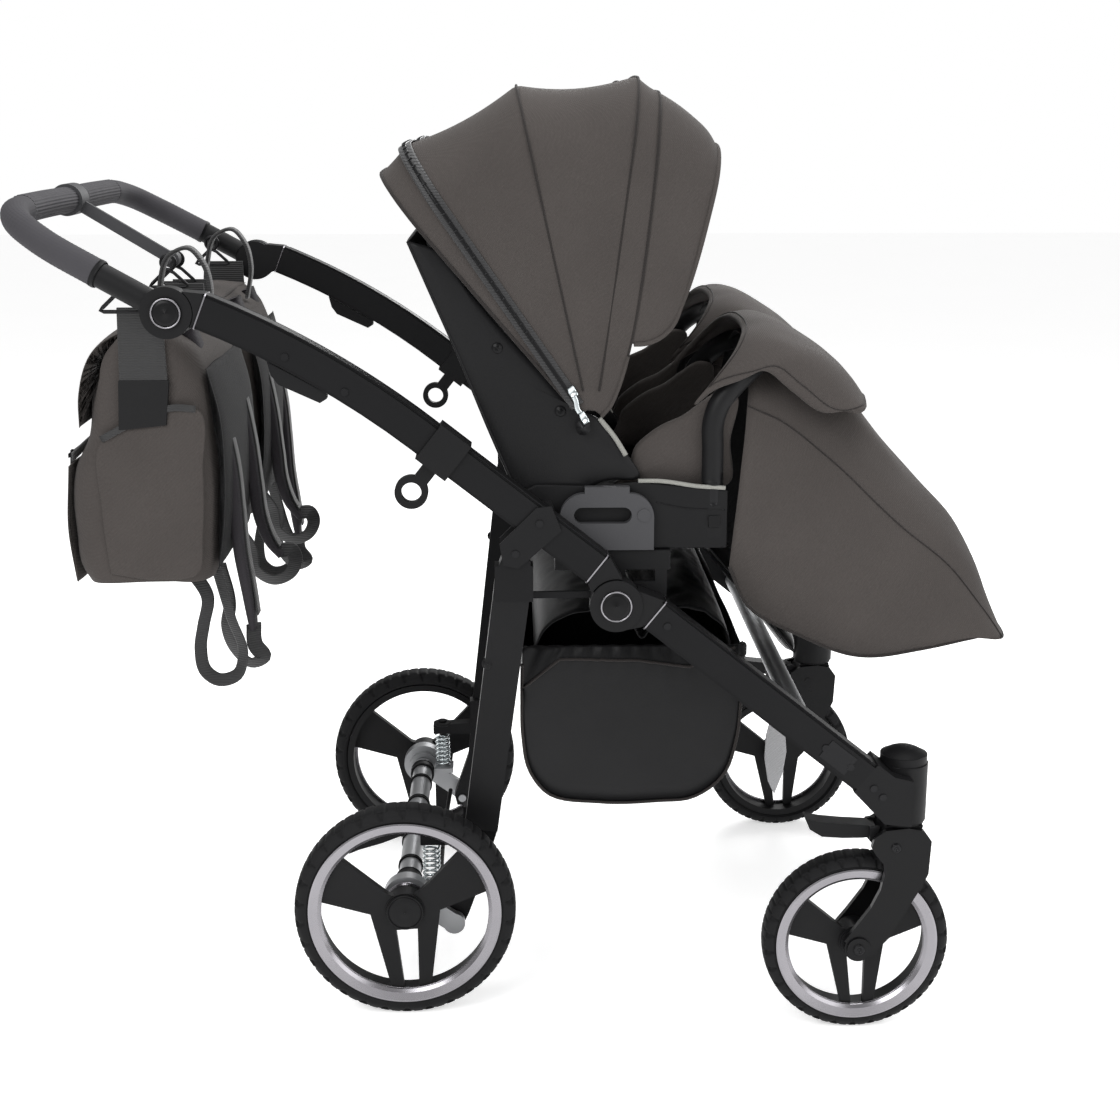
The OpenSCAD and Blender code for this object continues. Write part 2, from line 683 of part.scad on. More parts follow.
lower_tubes();
fold_hubs();
swivel_housings();
cross_tubes();
seat_rails();
adapter_pods();
basket();
basket_cover();
seat_shells();
seat_pads();
bumper_bars();
frame_screws();
upper_tubes();
handle_elbows();
leg_clevises();
catch_plates();
upper_screws();
handle_bar();
handle_grip();
handle_clamp();
tilt_button_right();
tilt_button_left();
release_slider_right();
release_slider_left();
rear_legs();
leg_brackets();
drag_links();
axle_beam();
rear_springs();
brake_pedal();
rear_tyre_right();
rear_rim_right();
rear_trim_right();
rear_tyre_left();
rear_rim_left();
rear_trim_left();
front_tyre_right();
front_rim_right();
front_trim_right();
front_tyre_left();
front_rim_left();
front_trim_left();
fork_right();
fork_left();
fork_arm_right();
fork_arm_left();
swivel_lock_right();
swivel_lock_left();
backrest_right();
backrest_left();
canopy_back_right();
canopy_back_left();
canopy_front_right();
canopy_front_left();
legrest_right();
legrest_left();
apron_right();
apron_left();
bag_right();
bag_left();
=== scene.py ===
import math

import bpy
import numpy as np
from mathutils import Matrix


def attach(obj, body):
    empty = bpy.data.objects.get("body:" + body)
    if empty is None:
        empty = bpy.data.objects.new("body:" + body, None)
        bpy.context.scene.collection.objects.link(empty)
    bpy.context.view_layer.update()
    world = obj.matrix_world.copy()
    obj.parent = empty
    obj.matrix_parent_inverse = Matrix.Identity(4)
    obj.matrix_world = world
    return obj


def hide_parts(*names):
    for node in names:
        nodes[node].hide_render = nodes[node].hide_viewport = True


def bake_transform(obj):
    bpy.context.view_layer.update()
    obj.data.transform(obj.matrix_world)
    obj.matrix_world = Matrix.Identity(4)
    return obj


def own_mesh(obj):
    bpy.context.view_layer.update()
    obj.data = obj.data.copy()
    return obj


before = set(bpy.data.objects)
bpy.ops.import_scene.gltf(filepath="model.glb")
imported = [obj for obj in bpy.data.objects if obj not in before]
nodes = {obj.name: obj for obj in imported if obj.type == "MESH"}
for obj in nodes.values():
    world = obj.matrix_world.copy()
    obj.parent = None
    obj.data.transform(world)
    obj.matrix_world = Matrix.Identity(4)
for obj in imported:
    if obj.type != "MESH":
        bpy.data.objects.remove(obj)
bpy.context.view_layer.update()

AXLE_BACK = 161.75          # mm from the middle of the length back to the rear axle
SEAT_MID = 180.0
SIDES = {"right": -1, "left": 1}


# ---- Camera, lights, backdrop ----
cam = bpy.data.cameras.new("camera")
cam.lens = 56.63
cam.sensor_width = 36
cam_ob = bpy.data.objects.new("camera", cam)
cam_ob.location = (-0.0214, -2.4206, 1.1595)
cam_ob.rotation_euler = (math.radians(90 - 14.30), 0, -math.radians(1.68))
bpy.context.scene.collection.objects.link(cam_ob)
bpy.context.scene.camera = cam_ob


def area_light(name, place, aim, size, power):
    data = bpy.data.lights.new(name, "AREA")
    data.shape = "SQUARE"
    data.size = size
    data.energy = power
    ob = bpy.data.objects.new(name, data)
    ob.location = place
    back = np.array(place, float) - np.array(aim, float)
    ob.rotation_euler = (math.acos(back[2] / np.linalg.norm(back)), 0, math.atan2(back[0], -back[1]))
    bpy.context.scene.collection.objects.link(ob)


area_light("key", (-1.6, -2.6, 2.6), (0, 0, 0.6), 1.8, 62)
area_light("fill", (2.4, -2.0, 1.6), (0.1, 0, 0.6), 2.0, 32)
area_light("top", (0.3, 0.3, 3.2), (0, 0, 0.4), 2.6, 78)
area_light("rim", (0.8, 2.6, 1.9), (0, 0, 0.7), 1.6, 40)
world = bpy.data.worlds.new("studio")
world.use_nodes = True
world.node_tree.nodes["Background"].inputs[0].default_value = (1, 1, 1, 1)
tree = world.node_tree
ray = tree.nodes.new("ShaderNodeLightPath")
level = tree.nodes.new("ShaderNodeMix")
level.inputs[2].default_value, level.inputs[3].default_value = 0.5, 1.0     # on the object, in the view
tree.links.new(ray.outputs["Is Camera Ray"], level.inputs[0])
tree.links.new(level.outputs[0], tree.nodes["Background"].inputs[1])
bpy.context.scene.world = world
bpy.context.scene.view_settings.view_transform = "Standard"


# ---- Materials ----
def linear(hex_code):
    rgb = [int(hex_code[i:i + 2], 16) / 255 for i in (1, 3, 5)]
    return [c / 12.92 if c <= 0.04045 else ((c + 0.055) / 1.055) ** 2.4 for c in rgb]


class Maker:
    """A Principled material with a colour mix, a roughness range and stacked bumps."""

    def __init__(self, name, colour, rough, metal=0.0, **sockets):
        self.mat = bpy.data.materials.new(name)
        self.mat.use_nodes = True
        self.tree = self.mat.node_tree
        self.bsdf = self.tree.nodes["Principled BSDF"]
        self.colour = linear(colour)
        self.bsdf.inputs["Base Color"].default_value = (*self.colour, 1)
        self.bsdf.inputs["Roughness"].default_value = rough
        self.bsdf.inputs["Metallic"].default_value = metal
        for key, value in sockets.items():
            self.bsdf.inputs[key.replace("_", " ")].default_value = value
        self.mat.diffuse_color = (*self.colour, 1)
        self.place = self.node("ShaderNodeTexCoord").outputs["Object"]
        self.last_bump = None

    def node(self, kind, **values):
        n = self.tree.nodes.new(kind)
        for key, value in values.items():
            if hasattr(n, key):
                setattr(n, key, value)
            else:
                n.inputs[key].default_value = value
        return n

    def link(self, a, b):
        self.tree.links.new(a, b)

    def turned(self, angles):
        m = self.node("ShaderNodeMapping")
        m.inputs["Rotation"].default_value = angles
        self.link(self.place, m.inputs["Vector"])
        return m.outputs[0]

    def noise(self, scale, detail=3, stretch=None):
        n = self.node("ShaderNodeTexNoise", Scale=scale, Detail=detail)
        source = self.place
        if stretch:
            m = self.node("ShaderNodeMapping")
            m.inputs["Scale"].default_value = stretch
            self.link(self.place, m.inputs["Vector"])
            source = m.outputs[0]
        self.link(source, n.inputs["Vector"])
        return n.outputs[0]

    def wave(self, period, source, direction="X"):
        n = self.node("ShaderNodeTexWave", bands_direction=direction, Scale=0.314159 / period)
        self.link(source, n.inputs["Vector"])
        return n.outputs["Fac"]

    def weave(self, period, angles=(0.62, 0.5, 0.4)):
        source = self.turned(angles)
        add = self.node("ShaderNodeMath", operation="MULTIPLY")
        self.link(self.wave(period, source, "X"), add.inputs[0])
        self.link(self.wave(period, source, "Y"), add.inputs[1])
        return add.outputs[0]

    def tint(self, factor, low, high):
        """Multiplies the base colour between two levels by a factor from 0 to 1."""
        ramp = self.node("ShaderNodeValToRGB")
        ramp.color_ramp.elements[0].position = 0.3
        ramp.color_ramp.elements[1].position = 0.7
        old = self.bsdf.inputs["Base Color"]
        for element, level in zip(ramp.color_ramp.elements, (low, high)):
            element.color = (level, level, level, 1)
        self.link(factor, ramp.inputs[0])
        mix = self.node("ShaderNodeMix", data_type="RGBA", blend_type="MULTIPLY")
        mix.inputs[0].default_value = 1
        if old.is_linked:
            self.link(old.links[0].from_socket, mix.inputs[6])
        else:
            mix.inputs[6].default_value = (*self.colour, 1)
        self.link(ramp.outputs[0], mix.inputs[7])
        self.link(mix.outputs[2], old)
        return self

    def rough(self, factor, low, high):
        m = self.node("ShaderNodeMapRange")
        m.inputs[3].default_value, m.inputs[4].default_value = low, high
        self.link(factor, m.inputs[0])
        self.link(m.outputs[0], self.bsdf.inputs["Roughness"])
        return self

    def bump(self, factor, depth_mm, strength=1.0):
        b = self.node("ShaderNodeBump", Strength=strength, Distance=depth_mm / 1000)
        self.link(factor, b.inputs["Height"])
        if self.last_bump:
            self.link(self.last_bump, b.inputs["Normal"])
        self.last_bump = b.outputs[0]
        self.link(self.last_bump, self.bsdf.inputs["Normal"])
        return self


def cloth(name, colour, rough, sheen, period, depth=0.25):
    m = Maker(name, colour, rough, Sheen_Weight=sheen, Sheen_Roughness=0.4)
    m.bsdf.inputs["Specular IOR Level"].default_value = 0.12
    w = m.weave(period)
    m.tint(w, 0.95, 1.05).tint(m.noise(9, 4), 0.93, 1.07).tint(m.noise(700, 2), 0.9, 1.1)
    m.bump(w, depth).bump(m.noise(14, 3), 1.6, 0.35)
    return m.mat


def hard(name, colour, rough, metal=0.0, grain=420, depth=0.05, **sockets):
    m = Maker(name, colour, rough, metal, **sockets)
    m.bsdf.inputs["Specular IOR Level"].default_value = 0.13
    m.tint(m.noise(6, 4), 0.92, 1.08)
    m.rough(m.noise(35, 5), max(rough - 0.07, 0.02), rough + 0.09)
    m.bump(m.noise(grain, 2), depth)
    return m.mat


def leather(name, colour, rough):
    m = Maker(name, colour, rough, Coat_Weight=0.05, Coat_Roughness=0.35)
    m.bsdf.inputs["Specular IOR Level"].default_value = 0.13
    v = m.node("ShaderNodeTexVoronoi", feature="DISTANCE_TO_EDGE", Scale=330)
    m.link(m.place, v.inputs["Vector"])
    m.tint(m.noise(8, 4), 0.88, 1.1)
    m.rough(m.noise(30, 4), rough - 0.08, rough + 0.1)
    m.bump(v.outputs["Distance"], 0.22, 0.6).bump(m.noise(18, 3), 1.4, 0.3)
    return m.mat


def ribbed(name, colour, rough, period, direction="Z", depth=0.35):
    m = Maker(name, colour, rough, Sheen_Weight=0.15)
    w = m.wave(period, m.place, direction)
    m.tint(w, 0.8, 1.15).tint(m.noise(20, 4), 0.9, 1.08)
    m.bump(w, depth)
    return m.mat


M = {
    "frame_black": hard("frame_paint", "#19191a", 0.45, 0.35, 900, 0.03),
    "plastic_black": hard("plastic_black", "#161617", 0.5, 0.0, 600, 0.06),
    "plastic_gloss": hard("plastic_gloss", "#131314", 0.3, 0.0, 300, 0.02),
    "plastic_grey": hard("plastic_grey", "#414143", 0.55, 0.0, 600, 0.08),
    "bright_trim": hard("bright_trim", "#8e8c90", 0.24, 1.0, 60, 0.01),
    "silver_tube": hard("silver_tube", "#98999b", 0.42, 0.75, 300, 0.02),
    "spring_steel": hard("spring_steel", "#c9d0d2", 0.2, 1.0, 300, 0.01),
    "tyre_rubber": hard("tyre_rubber", "#181819", 0.65, 0.0, 350, 0.12),
    "grip_rubber": hard("grip_rubber", "#3e3d40", 0.72, 0.0, 800, 0.08),
    "screw_black": hard("screw_black", "#262627", 0.32, 0.8, 400, 0.02),
    "leatherette": leather("leatherette", "#171718", 0.5),
    "leather_shiny": leather("leather_shiny", "#131314", 0.32),
    "fabric_grey": cloth("fabric_grey", "#433f3d", 0.88, 0.06, 0.0019),
    "fabric_dark": cloth("fabric_dark", "#2f2d30", 0.82, 0.06, 0.0019),
    "fabric_black": cloth("fabric_black", "#171718", 0.8, 0.05, 0.0016),
    "nylon_black": cloth("nylon_black", "#161617", 0.42, 0.05, 0.0012, 0.08),
    "webbing_grey": ribbed("webbing_grey", "#2a292b", 0.75, 0.0032),
    "webbing_black": ribbed("webbing_black", "#171718", 0.65, 0.003),
    "zip_tape": ribbed("zip_tape", "#18181a", 0.5, 0.0034),
    "piping_light": cloth("piping_light", "#8b8b86", 0.8, 0.2, 0.0012),
    # Dark cord colour: real piping and stitching, and on the canopy and leg cover seams painted shade
    # for the seams' shadow lines
    "piping_dark": cloth("piping_dark", "#2c2928", 0.8, 0.1, 0.0012),
    "tongue_grey": cloth("tongue_grey", "#a9a9ab", 0.75, 0.2, 0.0019),
}


# ---- Building pieces, in the CAD's working millimetres ----
def to_row(points):
    p = np.array(points, float).reshape(-1, 3)
    p[:, 0] -= AXLE_BACK
    return p / 1000


def row_point(x, z, y=0.0):
    return tuple(to_row([x, y, z])[0])


def piece(name, points, faces, mats, ride, smooth=True, face_mats=None, subsurf=0, thick=0.0,
          bevel=0.0, offset=-1.0, replaces=()):
    """Makes a mesh and fixes it to a CAD body when ride is a name; when ride is (body a, body b, start,
    end), those entries are not used and the mesh is left unattached with its transform applied."""
    mats = [mats] if isinstance(mats, str) else mats
    mesh = bpy.data.meshes.new(name)
    mesh.from_pydata(to_row(points).tolist(), [], [tuple(int(i) for i in f) for f in faces])
    for m in mats:
        mesh.materials.append(M[m])
    if face_mats is not None:
        mesh.polygons.foreach_set("material_index", np.array(face_mats, np.int32))
    mesh.polygons.foreach_set("use_smooth", [smooth] * len(mesh.polygons))
    mesh.update()
    ob = bpy.data.objects.new(name, mesh)
    bpy.context.scene.collection.objects.link(ob)
    if bevel:
        b = ob.modifiers.new("bevel", "BEVEL")
        b.width, b.segments, b.limit_method, b.angle_limit = bevel / 1000, 3, "ANGLE", math.radians(35)
        b.harden_normals = False
    if thick:
        s = ob.modifiers.new("cloth", "SOLIDIFY")
        s.thickness, s.offset = thick / 1000, offset
        s.use_even_offset = False
        if len(mats) > 1 and face_mats is None:
            s.material_offset = 1
    if subsurf:
        s = ob.modifiers.new("subsurf", "SUBSURF")
        s.levels = s.render_levels = subsurf
    if isinstance(ride, str):
        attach(ob, ride)
    else:
        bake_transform(ob)
    if replaces:
        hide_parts(*replaces)
    return ob


def grid_faces(nu, nv, wrap_u=False, wrap_v=False):
    i, j = np.meshgrid(np.arange(nu if wrap_u else nu - 1), np.arange(nv if wrap_v else nv - 1),
                       indexing="ij")
    i, j = i.ravel(), j.ravel()
    k, m = (i + 1) % nu, (j + 1) % nv
    return np.stack([i * nv + j, k * nv + j, k * nv + m, i * nv + m], 1).tolist()


def spline(points, count):
    """A smooth curve through the points, evenly spaced along their polyline."""
    p = np.array(points, float)
    d = np.r_[0, np.cumsum(np.linalg.norm(np.diff(p, axis=0), axis=1))]
    m = np.gradient(p, d, axis=0)
    t = np.linspace(0, d[-1], count)
    i = np.clip(np.searchsorted(d, t, "right") - 1, 0, len(p) - 2)
    h = (d[i + 1] - d[i])[:, None]
    s = (t - d[i])[:, None] / h
    return ((2 * s**3 - 3 * s**2 + 1) * p[i] + (s**3 - 2 * s**2 + s) * h * m[i]
            + (3 * s**2 - 2 * s**3) * p[i + 1] + (s**3 - s**2) * h * m[i + 1])


def unit(v):
    return v / np.maximum(np.linalg.norm(v, axis=-1, keepdims=True), 1e-9)


def sweep_points(path, side, half, thick, power=2.0, sides=12, ripple=None):
    path = np.array(path, float)
    t = unit(np.gradient(path, axis=0))
    s = np.array(side, float) * np.ones_like(path)
    s = unit(s - (s * t).sum(1, keepdims=True) * t)
    n = np.cross(t, s)
    a = 2 * np.pi * np.arange(sides) / sides
    ca = np.sign(np.cos(a)) * np.abs(np.cos(a)) ** (2 / power)
    sa = np.sign(np.sin(a)) * np.abs(np.sin(a)) ** (2 / power)
    half = np.ones(len(path)) * half
    thick = np.ones(len(path)) * thick
    scale = 1.0 if ripple is None else ripple(np.arange(len(path))[:, None], a[None, :])[..., None]
    return (path[:, None] + scale * (half[:, None, None] * ca[None, :, None] * s[:, None]
                                     + thick[:, None, None] * sa[None, :, None] * n[:, None]))


def sweep(name, path, side, half, thick, mat, ride, power=2.0, sides=12, closed=False, ripple=None,
          **more):
    """A closed bar along a path: half is half its width along side, thick half its thickness."""
    rings = sweep_points(path, side, half, thick, power, sides, ripple)
    count = len(rings)
    faces = grid_faces(count, sides, wrap_u=closed, wrap_v=True)
    if not closed:
        faces += [list(range(sides))[::-1], [(count - 1) * sides + k for k in range(sides)]]
    return piece(name, rings, faces, mat, ride, **more)


def cord_line(name, path, r, mat, ride, ref=(0, 0, 1), sides=8, **more):
    return sweep(name, path, ref, r, r, mat, ride, 2.0, sides, **more)


def merged(name, parts, mat, ride, **more):
    """Several swept bars as one object."""
    points, faces, base = [], [], 0
    for rings in parts:
        count, sides = rings.shape[:2]
        points.append(rings.reshape(-1, 3))
        block = grid_faces(count, sides, wrap_v=True)
        block += [list(range(sides))[::-1], [(count - 1) * sides + k for k in range(sides)]]
        faces += [[i + base for i in f] for f in block]
        base += count * sides
    return piece(name, np.concatenate(points), faces, mat, ride, **more)


def lathe(name, profile, centre, axis_y, mat, ride, steps=96, shape=None, **more):
    """Turns a profile of (radius, distance outward) about a Y axis through centre (x, y, z).
    axis_y is -1 or 1: which way is outward."""
    profile = np.array(profile, float)
    a = 2 * np.pi * np.arange(steps) / steps
    r = np.tile(profile[:, 0], (steps, 1))
    w = np.tile(profile[:, 1], (steps, 1))
    if shape is not None:
        r, w = shape(a[:, None], r, w)
    p = np.stack([centre[0] + r * np.cos(a)[:, None], centre[1] + axis_y * w,
                  centre[2] + r * np.sin(a)[:, None]], 2)
    closed = bool(np.allclose(profile[0], profile[-1]))
    if closed:
        p = p[:, :-1]
    faces = grid_faces(steps, p.shape[1], wrap_u=True, wrap_v=closed)
    if not closed:
        faces += [[k * p.shape[1] for k in range(steps)],
                  [k * p.shape[1] + p.shape[1] - 1 for k in range(steps)][::-1]]
    if axis_y > 0:
        faces = [f[::-1] for f in faces]
    return piece(name, p, faces, mat, ride, **more)


def slab(name, outline, y0, y1, mat, ride, bevel=1.5, **more):
    """A side-view outline (x, z) between two Y values, with rounded edges."""
    o = np.array(outline, float)
    n = len(o)
    pts = [[x, y, z] for y in (y0, y1) for x, z in o]
    faces = [list(range(n)), [n + k for k in range(n)][::-1]]
    faces += [[k, k + n, (k + 1) % n + n, (k + 1) % n] for k in range(n)]
    return piece(name, pts, faces, mat, ride, smooth=False, bevel=bevel, **more)


def smooth_shift(points, seed, size, amount):
    """Soft random waves, for cloth that isn't perfectly even: a shift for each point."""
    r = np.random.default_rng(seed)
    p = np.array(points, float).reshape(-1, 3)
    total = np.zeros(len(p))
    for _ in range(9):
        k = r.normal(size=3)
        k *= 2 * np.pi / size / np.linalg.norm(k) * r.uniform(0.6, 1.5)
        total += np.sin(p @ k + r.uniform(0, 6.28))
    return amount * total / 4




# ---- Hard CAD nodes keep their shape and get their finish ----
FINISH = {
    "frame_black": ["lower_tubes", "upper_tubes", "rear_legs", "leg_brackets", "drag_links"],
    "plastic_black": ["fold_hubs", "swivel_housings", "seat_rails", "handle_elbows", "leg_clevises",
                      "catch_plates", "handle_bar", "brake_pedal"],
    "plastic_grey": ["adapter_pods", "handle_clamp"],
    "silver_tube": ["cross_tubes", "axle_beam"],
    "screw_black": ["frame_screws", "upper_screws"],
}
for side in SIDES:
    FINISH["plastic_black"] += [f"{n}_{side}" for n in ("tilt_button", "release_slider", "fork",
                                                       "rear_rim", "front_rim", "swivel_lock")]
    FINISH.setdefault("plastic_gloss", []).append(f"fork_arm_{side}")
    FINISH.setdefault("bright_trim", []).extend([f"rear_trim_{side}", f"front_trim_{side}"])
for finish, names in FINISH.items():
    for n in names:
        ob = nodes[n]
        ob.data.materials.clear()
        ob.data.materials.append(M[finish])
        if "trim" in n:
            continue
        b = ob.modifiers.new("bevel", "BEVEL")
        b.width, b.segments, b.limit_method, b.angle_limit = 0.0011, 2, "ANGLE", math.radians(38)
        b.harden_normals = False

# ---- Wheels ----
WHEELS = {"rear": ((0, 145), 284, 145.0, 124.0), "front": ((583, 120), 337, 120.0, 102.0)}
NOTCHES = 30


def tyre_profile(r, bead):
    half = [(bead + 0.2, 12), (bead + 0.6, 15.5), (bead + 2.2, 18.6), (bead + 5, 19.6), (r - 15, 20),
            (r - 13.4, 19.2), (r - 12.6, 19.6), (r - 9, 19.0), (r - 6, 17.4), (r - 3.6, 15.2),
            (r - 2.6, 14.0), (r - 1.4, 13.2), (r - 0.5, 9.5), (r - 0.05, 5), (r, 1.5)]
    full = np.array(half + [(a, -b) for a, b in half[::-1]])
    return np.vstack([full, full[:1]])


for end, ((wx, wz), track, r, bead) in WHEELS.items():
    for side, s in SIDES.items():
        body = f"{end}_wheel_{side}"

        def notch(a, rr, ww, r=r):
            turn = (a * NOTCHES / (2 * np.pi)) % 1
            reach = np.clip((rr - (r - 13)) / 9.0, 0, 1)       # 0 at the sidewall, 1 at the tread
            wedge = np.clip(1 - np.abs(turn - 0.5) / (0.05 + 0.13 * reach), 0, 1)
            on = (rr > r - 13) & (rr < r - 3.2)
            side_cut = np.where(on, 3.0 * np.minimum(wedge * 3, 1), 0)
            groove = np.where((rr > r - 2) & (np.abs((turn * 2) % 1 - 0.5) < 0.1), 1.6, 0)
            return rr - groove, ww - np.sign(ww) * side_cut

        lathe(f"tyre_{end}_{side}", tyre_profile(r, bead), (wx, s * track, wz), s, "tyre_rubber", body,
              steps=540, shape=notch, replaces=[f"{end}_tyre_{side}"])
        # Bright inner lip, hub cap ring and hub cap
        lathe(f"rim_lip_{end}_{side}", [(bead - 14.2, 10.0), (bead - 14.9, 12.2), (bead - 13.4, 13.6),
                                        (bead - 12.2, 12.6), (bead - 12.6, 10.4), (bead - 14.2, 10.0)],
              (wx, s * track, wz), s, "bright_trim", body, steps=120)
        if end == "rear":
            lathe(f"hub_cap_{side}", [(0.3, 18.6), (12, 18.4), (19, 17.6), (21.4, 16.4), (22, 14)],
                  (wx, s * track, wz), s, "plastic_black", body, steps=72)
            lathe(f"hub_ring_{side}", [(22.3, 15.2), (22.3, 17.1), (23.9, 17.1), (24.2, 15.0), (22.3,
                    15.2)],
                  (wx, s * track, wz), s, "plastic_gloss", body, steps=72)
            lathe(f"hub_flange_{side}", [(14, -21.5), (26, -21.5), (27.5, -19), (27.5, -14), (24, -13)],
                  (wx, s * track, wz), s, "bright_trim", body, steps=72)

# Sprung coils between the axle plates and the brackets
for side, s in SIDES.items():
    turns, top, low = 7.5, 205.4, 153.0
    a = np.linspace(0, turns * 2 * np.pi, 240)
    climb = np.clip((a / a[-1] - 0.03) / 0.94, 0, 1)
    path = np.stack([32 + 10.6 * np.cos(a), s * 217 + 10.6 * np.sin(a),
            low + 2 + (top - low - 4) * climb], 1)
    coil = cord_line(f"coil_{side}", path, 1.7, "spring_steel", "rear_frame", sides=8,
                     replaces=["rear_springs"] if side == "right" else ())
    row_point(32, 206, s * 217)
    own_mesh(coil)
    # Cap over each spring, rivets and the rod guide on its bracket
    for k, (r0, z0, z1) in enumerate([(14, 220.5, 225), (7, 225, 228.5)]):
        a = 2 * np.pi * np.arange(32) / 32
        ring = lambda q, z: [[32 + q * math.cos(t), s * 217 + q * math.sin(t), z] for t in a]
        pts = ring(r0 - 1, z0) + ring(r0, z0 + 1) + ring(r0, z1 - 1) + ring(r0 - 1.2, z1)
        faces = [[i * 32 + j, i * 32 + (j + 1) % 32, (i + 1) * 32 + (j + 1) % 32, (i + 1) * 32 + j]
                 for i in range(3) for j in range(32)]
        faces += [list(range(32))[::-1], [96 + j for j in range(32)]]
        piece(f"spring_cap_{side}_{k}", pts, faces, "plastic_black", "rear_frame")
    for k, (x, z) in enumerate([(108, 236), (96, 168), (62, 100)]):
        for f, face_y in enumerate((206.8, 228.2)):
            lathe(f"rivet_{side}_{k}_{f}", [(0.2, 1.9), (2.4, 1.6), (4.0, 0.8), (4.6, 0.0)],
                  (x, s * face_y, z), s * (1 if f else -1), "spring_steel", "rear_frame", steps=24)

# Brake rod along the axle, in front of it, and its cable clips
merged("brake_rod", [sweep_points(spline([(44, y0, 118), (40, y0 * 0.6, 108), (38, 0, 104)], 20),
                                        (0, 0, 1), 3.2, 3.2, 2, 10) for y0 in (-196, 196)],
             "plastic_black", "rear_axle")
merged("axle_collars", [sweep_points([(0, s * y, 145), (0, s * (y + w), 145)], (0, 0, 1), q, q, 2, 40)
                        for s in (-1, 1) for y, w, q in ((196, 16, 17.5), (64, 8, 16.2), (150, 6,
                                16.2))],
       "plastic_black", "rear_axle", bevel=1.0)

# ---- Frame details: bright shims at the tube ends, edge strips, disc faces ----
SLOPE_START, SLOPE_END = 22.0, 38.2
ARC = (-216.0, 937.5, 1045.0)
LOWER = ((312.0, 572.0), (580.0, 357.0))
lower_slope = math.degrees(math.atan2(LOWER[0][1] - LOWER[1][1], LOWER[1][0] - LOWER[0][0]))


def arc_point(angle, up=0.0):
    a, a0 = math.radians(angle), math.radians(SLOPE_START)
    return (ARC[0] + ARC[2] * (math.sin(a) - math.sin(a0)) + up * math.sin(a),
            ARC[1] + ARC[2] * (math.cos(a) - math.cos(a0)) + up * math.cos(a))


def shim(name, centre, slope, body, width=1.6, proud=0.8):
    a = math.radians(slope)
    along, up = np.array([math.cos(a), -math.sin(a)]), np.array([math.sin(a), math.cos(a)])
    c, h = np.array(centre), 21 + proud
    for side, s in SIDES.items():
        loops = []
        for d in (-width / 2, width / 2):
            for inset in (0, 1.6):
                hh, y0, y1 = h - inset, 353 - proud + inset, 383 + proud - inset
                k = 2.6
                corner = [(-hh, y0 + k), (-hh, y1 - k), (-hh + k, y1), (hh - k, y1), (hh, y1 - k),
                          (hh, y0 + k), (hh - k, y0), (-hh + k, y0)]
                loops.append([[*(c + along * d + up * v)[:1], s * y, (c + along * d + up * v)[1]]
                              for v, y in corner])
        order = [loops[0], loops[2], loops[3], loops[1]]
        pts = np.array(order).transpose(1, 0, 2).reshape(-1, 3)
        piece(f"{name}_{side}", pts, grid_faces(8, 4, True, True), "bright_trim", body, smooth=False)


shim("shim_handle", arc_point(SLOPE_START + 0.15), SLOPE_START, "upper_frame")
shim("shim_upper_end", (244.5, 628), SLOPE_END, "upper_frame")
shim("shim_lower", (315, 569.6), lower_slope, "chassis")

# A raised strip along the top edge of each tube catches the light
for side, s in SIDES.items():
    top = [arc_point(a, 20.4) for a in np.linspace(SLOPE_START + 0.5, SLOPE_END, 24)]
    end = (240.5 + 20.4 * math.sin(math.radians(SLOPE_END)),
            631 + 20.4 * math.cos(math.radians(SLOPE_END)))
    for k, y in enumerate((380.2, 356.0)):
        path = np.array([(x, s * y, z) for x, z in top + [end]])
        sweep(f"tube_bead_{side}_{k}", path, (0, 1, 0), 0.9, 0.9, "frame_black", "upper_frame", 2, 8)
    a = math.radians(lower_slope)
    p0, p1 = (np.array(p) + 20.4 * np.array([math.sin(a), math.cos(a)]) for p in LOWER)
    sweep(f"low_bead_{side}", [(p0[0] + 6, s * 380.2, p0[1] - 4.8), (p1[0] - 8, s * 380.2, p1[1] + 6.4)],
          (0, 1, 0), 0.9, 0.9, "frame_black", "chassis", 2, 8)
    # Silver rings and plain discs on the two pivots
    for name, (x, z), y0, ring_r, body in (("fold_disc", (268, 582), 386.4, 18.5, "chassis"),
                                           ("tilt_disc", (-252, 935), 386.0, 17.0,
                                           f"tilt_button_{side}")):
        lathe(f"{name}_ring_{side}", [(ring_r - 1.5, -0.6), (ring_r - 1.2, 0.7), (ring_r, 1.0),
                                      (ring_r + 0.6, 0.3), (ring_r + 0.6, -0.6), (ring_r - 1.5, -0.6)],
              (x, s * y0, z), s, "bright_trim", body, steps=90)
        lathe(f"{name}_face_{side}", [(0.3, 0.9), (ring_r - 6, 0.75), (ring_r - 3, 0.4), (ring_r - 2.2,
                -0.4)],
              (x, s * y0, z), s, "plastic_gloss", body, steps=72)
    # Seam ring round the swivel cap
    cap_path = [(636 + 30.3 * math.cos(t), s * 337 + 30.3 * math.sin(t), 362.6)
                for t in np.linspace(0, 2 * math.pi, 73)[:-1]]
    sweep(f"cap_seam_{side}", cap_path, (0, 0, 1), 0.9, 0.7, "plastic_gloss", "chassis", 2, 6,
            closed=True)
    # Snap knob on each rear leg
    for k, (r0, h) in enumerate(((7.5, 3.0), (5.0, 6.5))):
        lathe(f"leg_knob_{side}_{k}", [(0.3, h), (r0 - 1.5, h), (r0, h - 1), (r0, 0)],
              (112, s * 337, 497), s, "plastic_black", "rear_frame", steps=32)
    # Hub bolts of the front wheels
    lathe(f"front_bolt_{side}", [(0.2, 1.4), (3.2, 1.4), (3.4, 2.6), (6.2, 2.6), (7.0, 1.8), (7.2,
            -0.4)],
          (583, s * 372.2, 120), s, "screw_black", f"fork_arm_{side}", steps=36)
    lathe(f"pivot_bolt_{side}", [(0.2, 0.6), (2.8, 0.6), (3.0, 1.8), (5.2, 1.8), (6.0, 1.0), (6.2,
            -0.4)],
          (625, s * 369.6, 258), s, "screw_black", f"fork_{side}", steps=36)

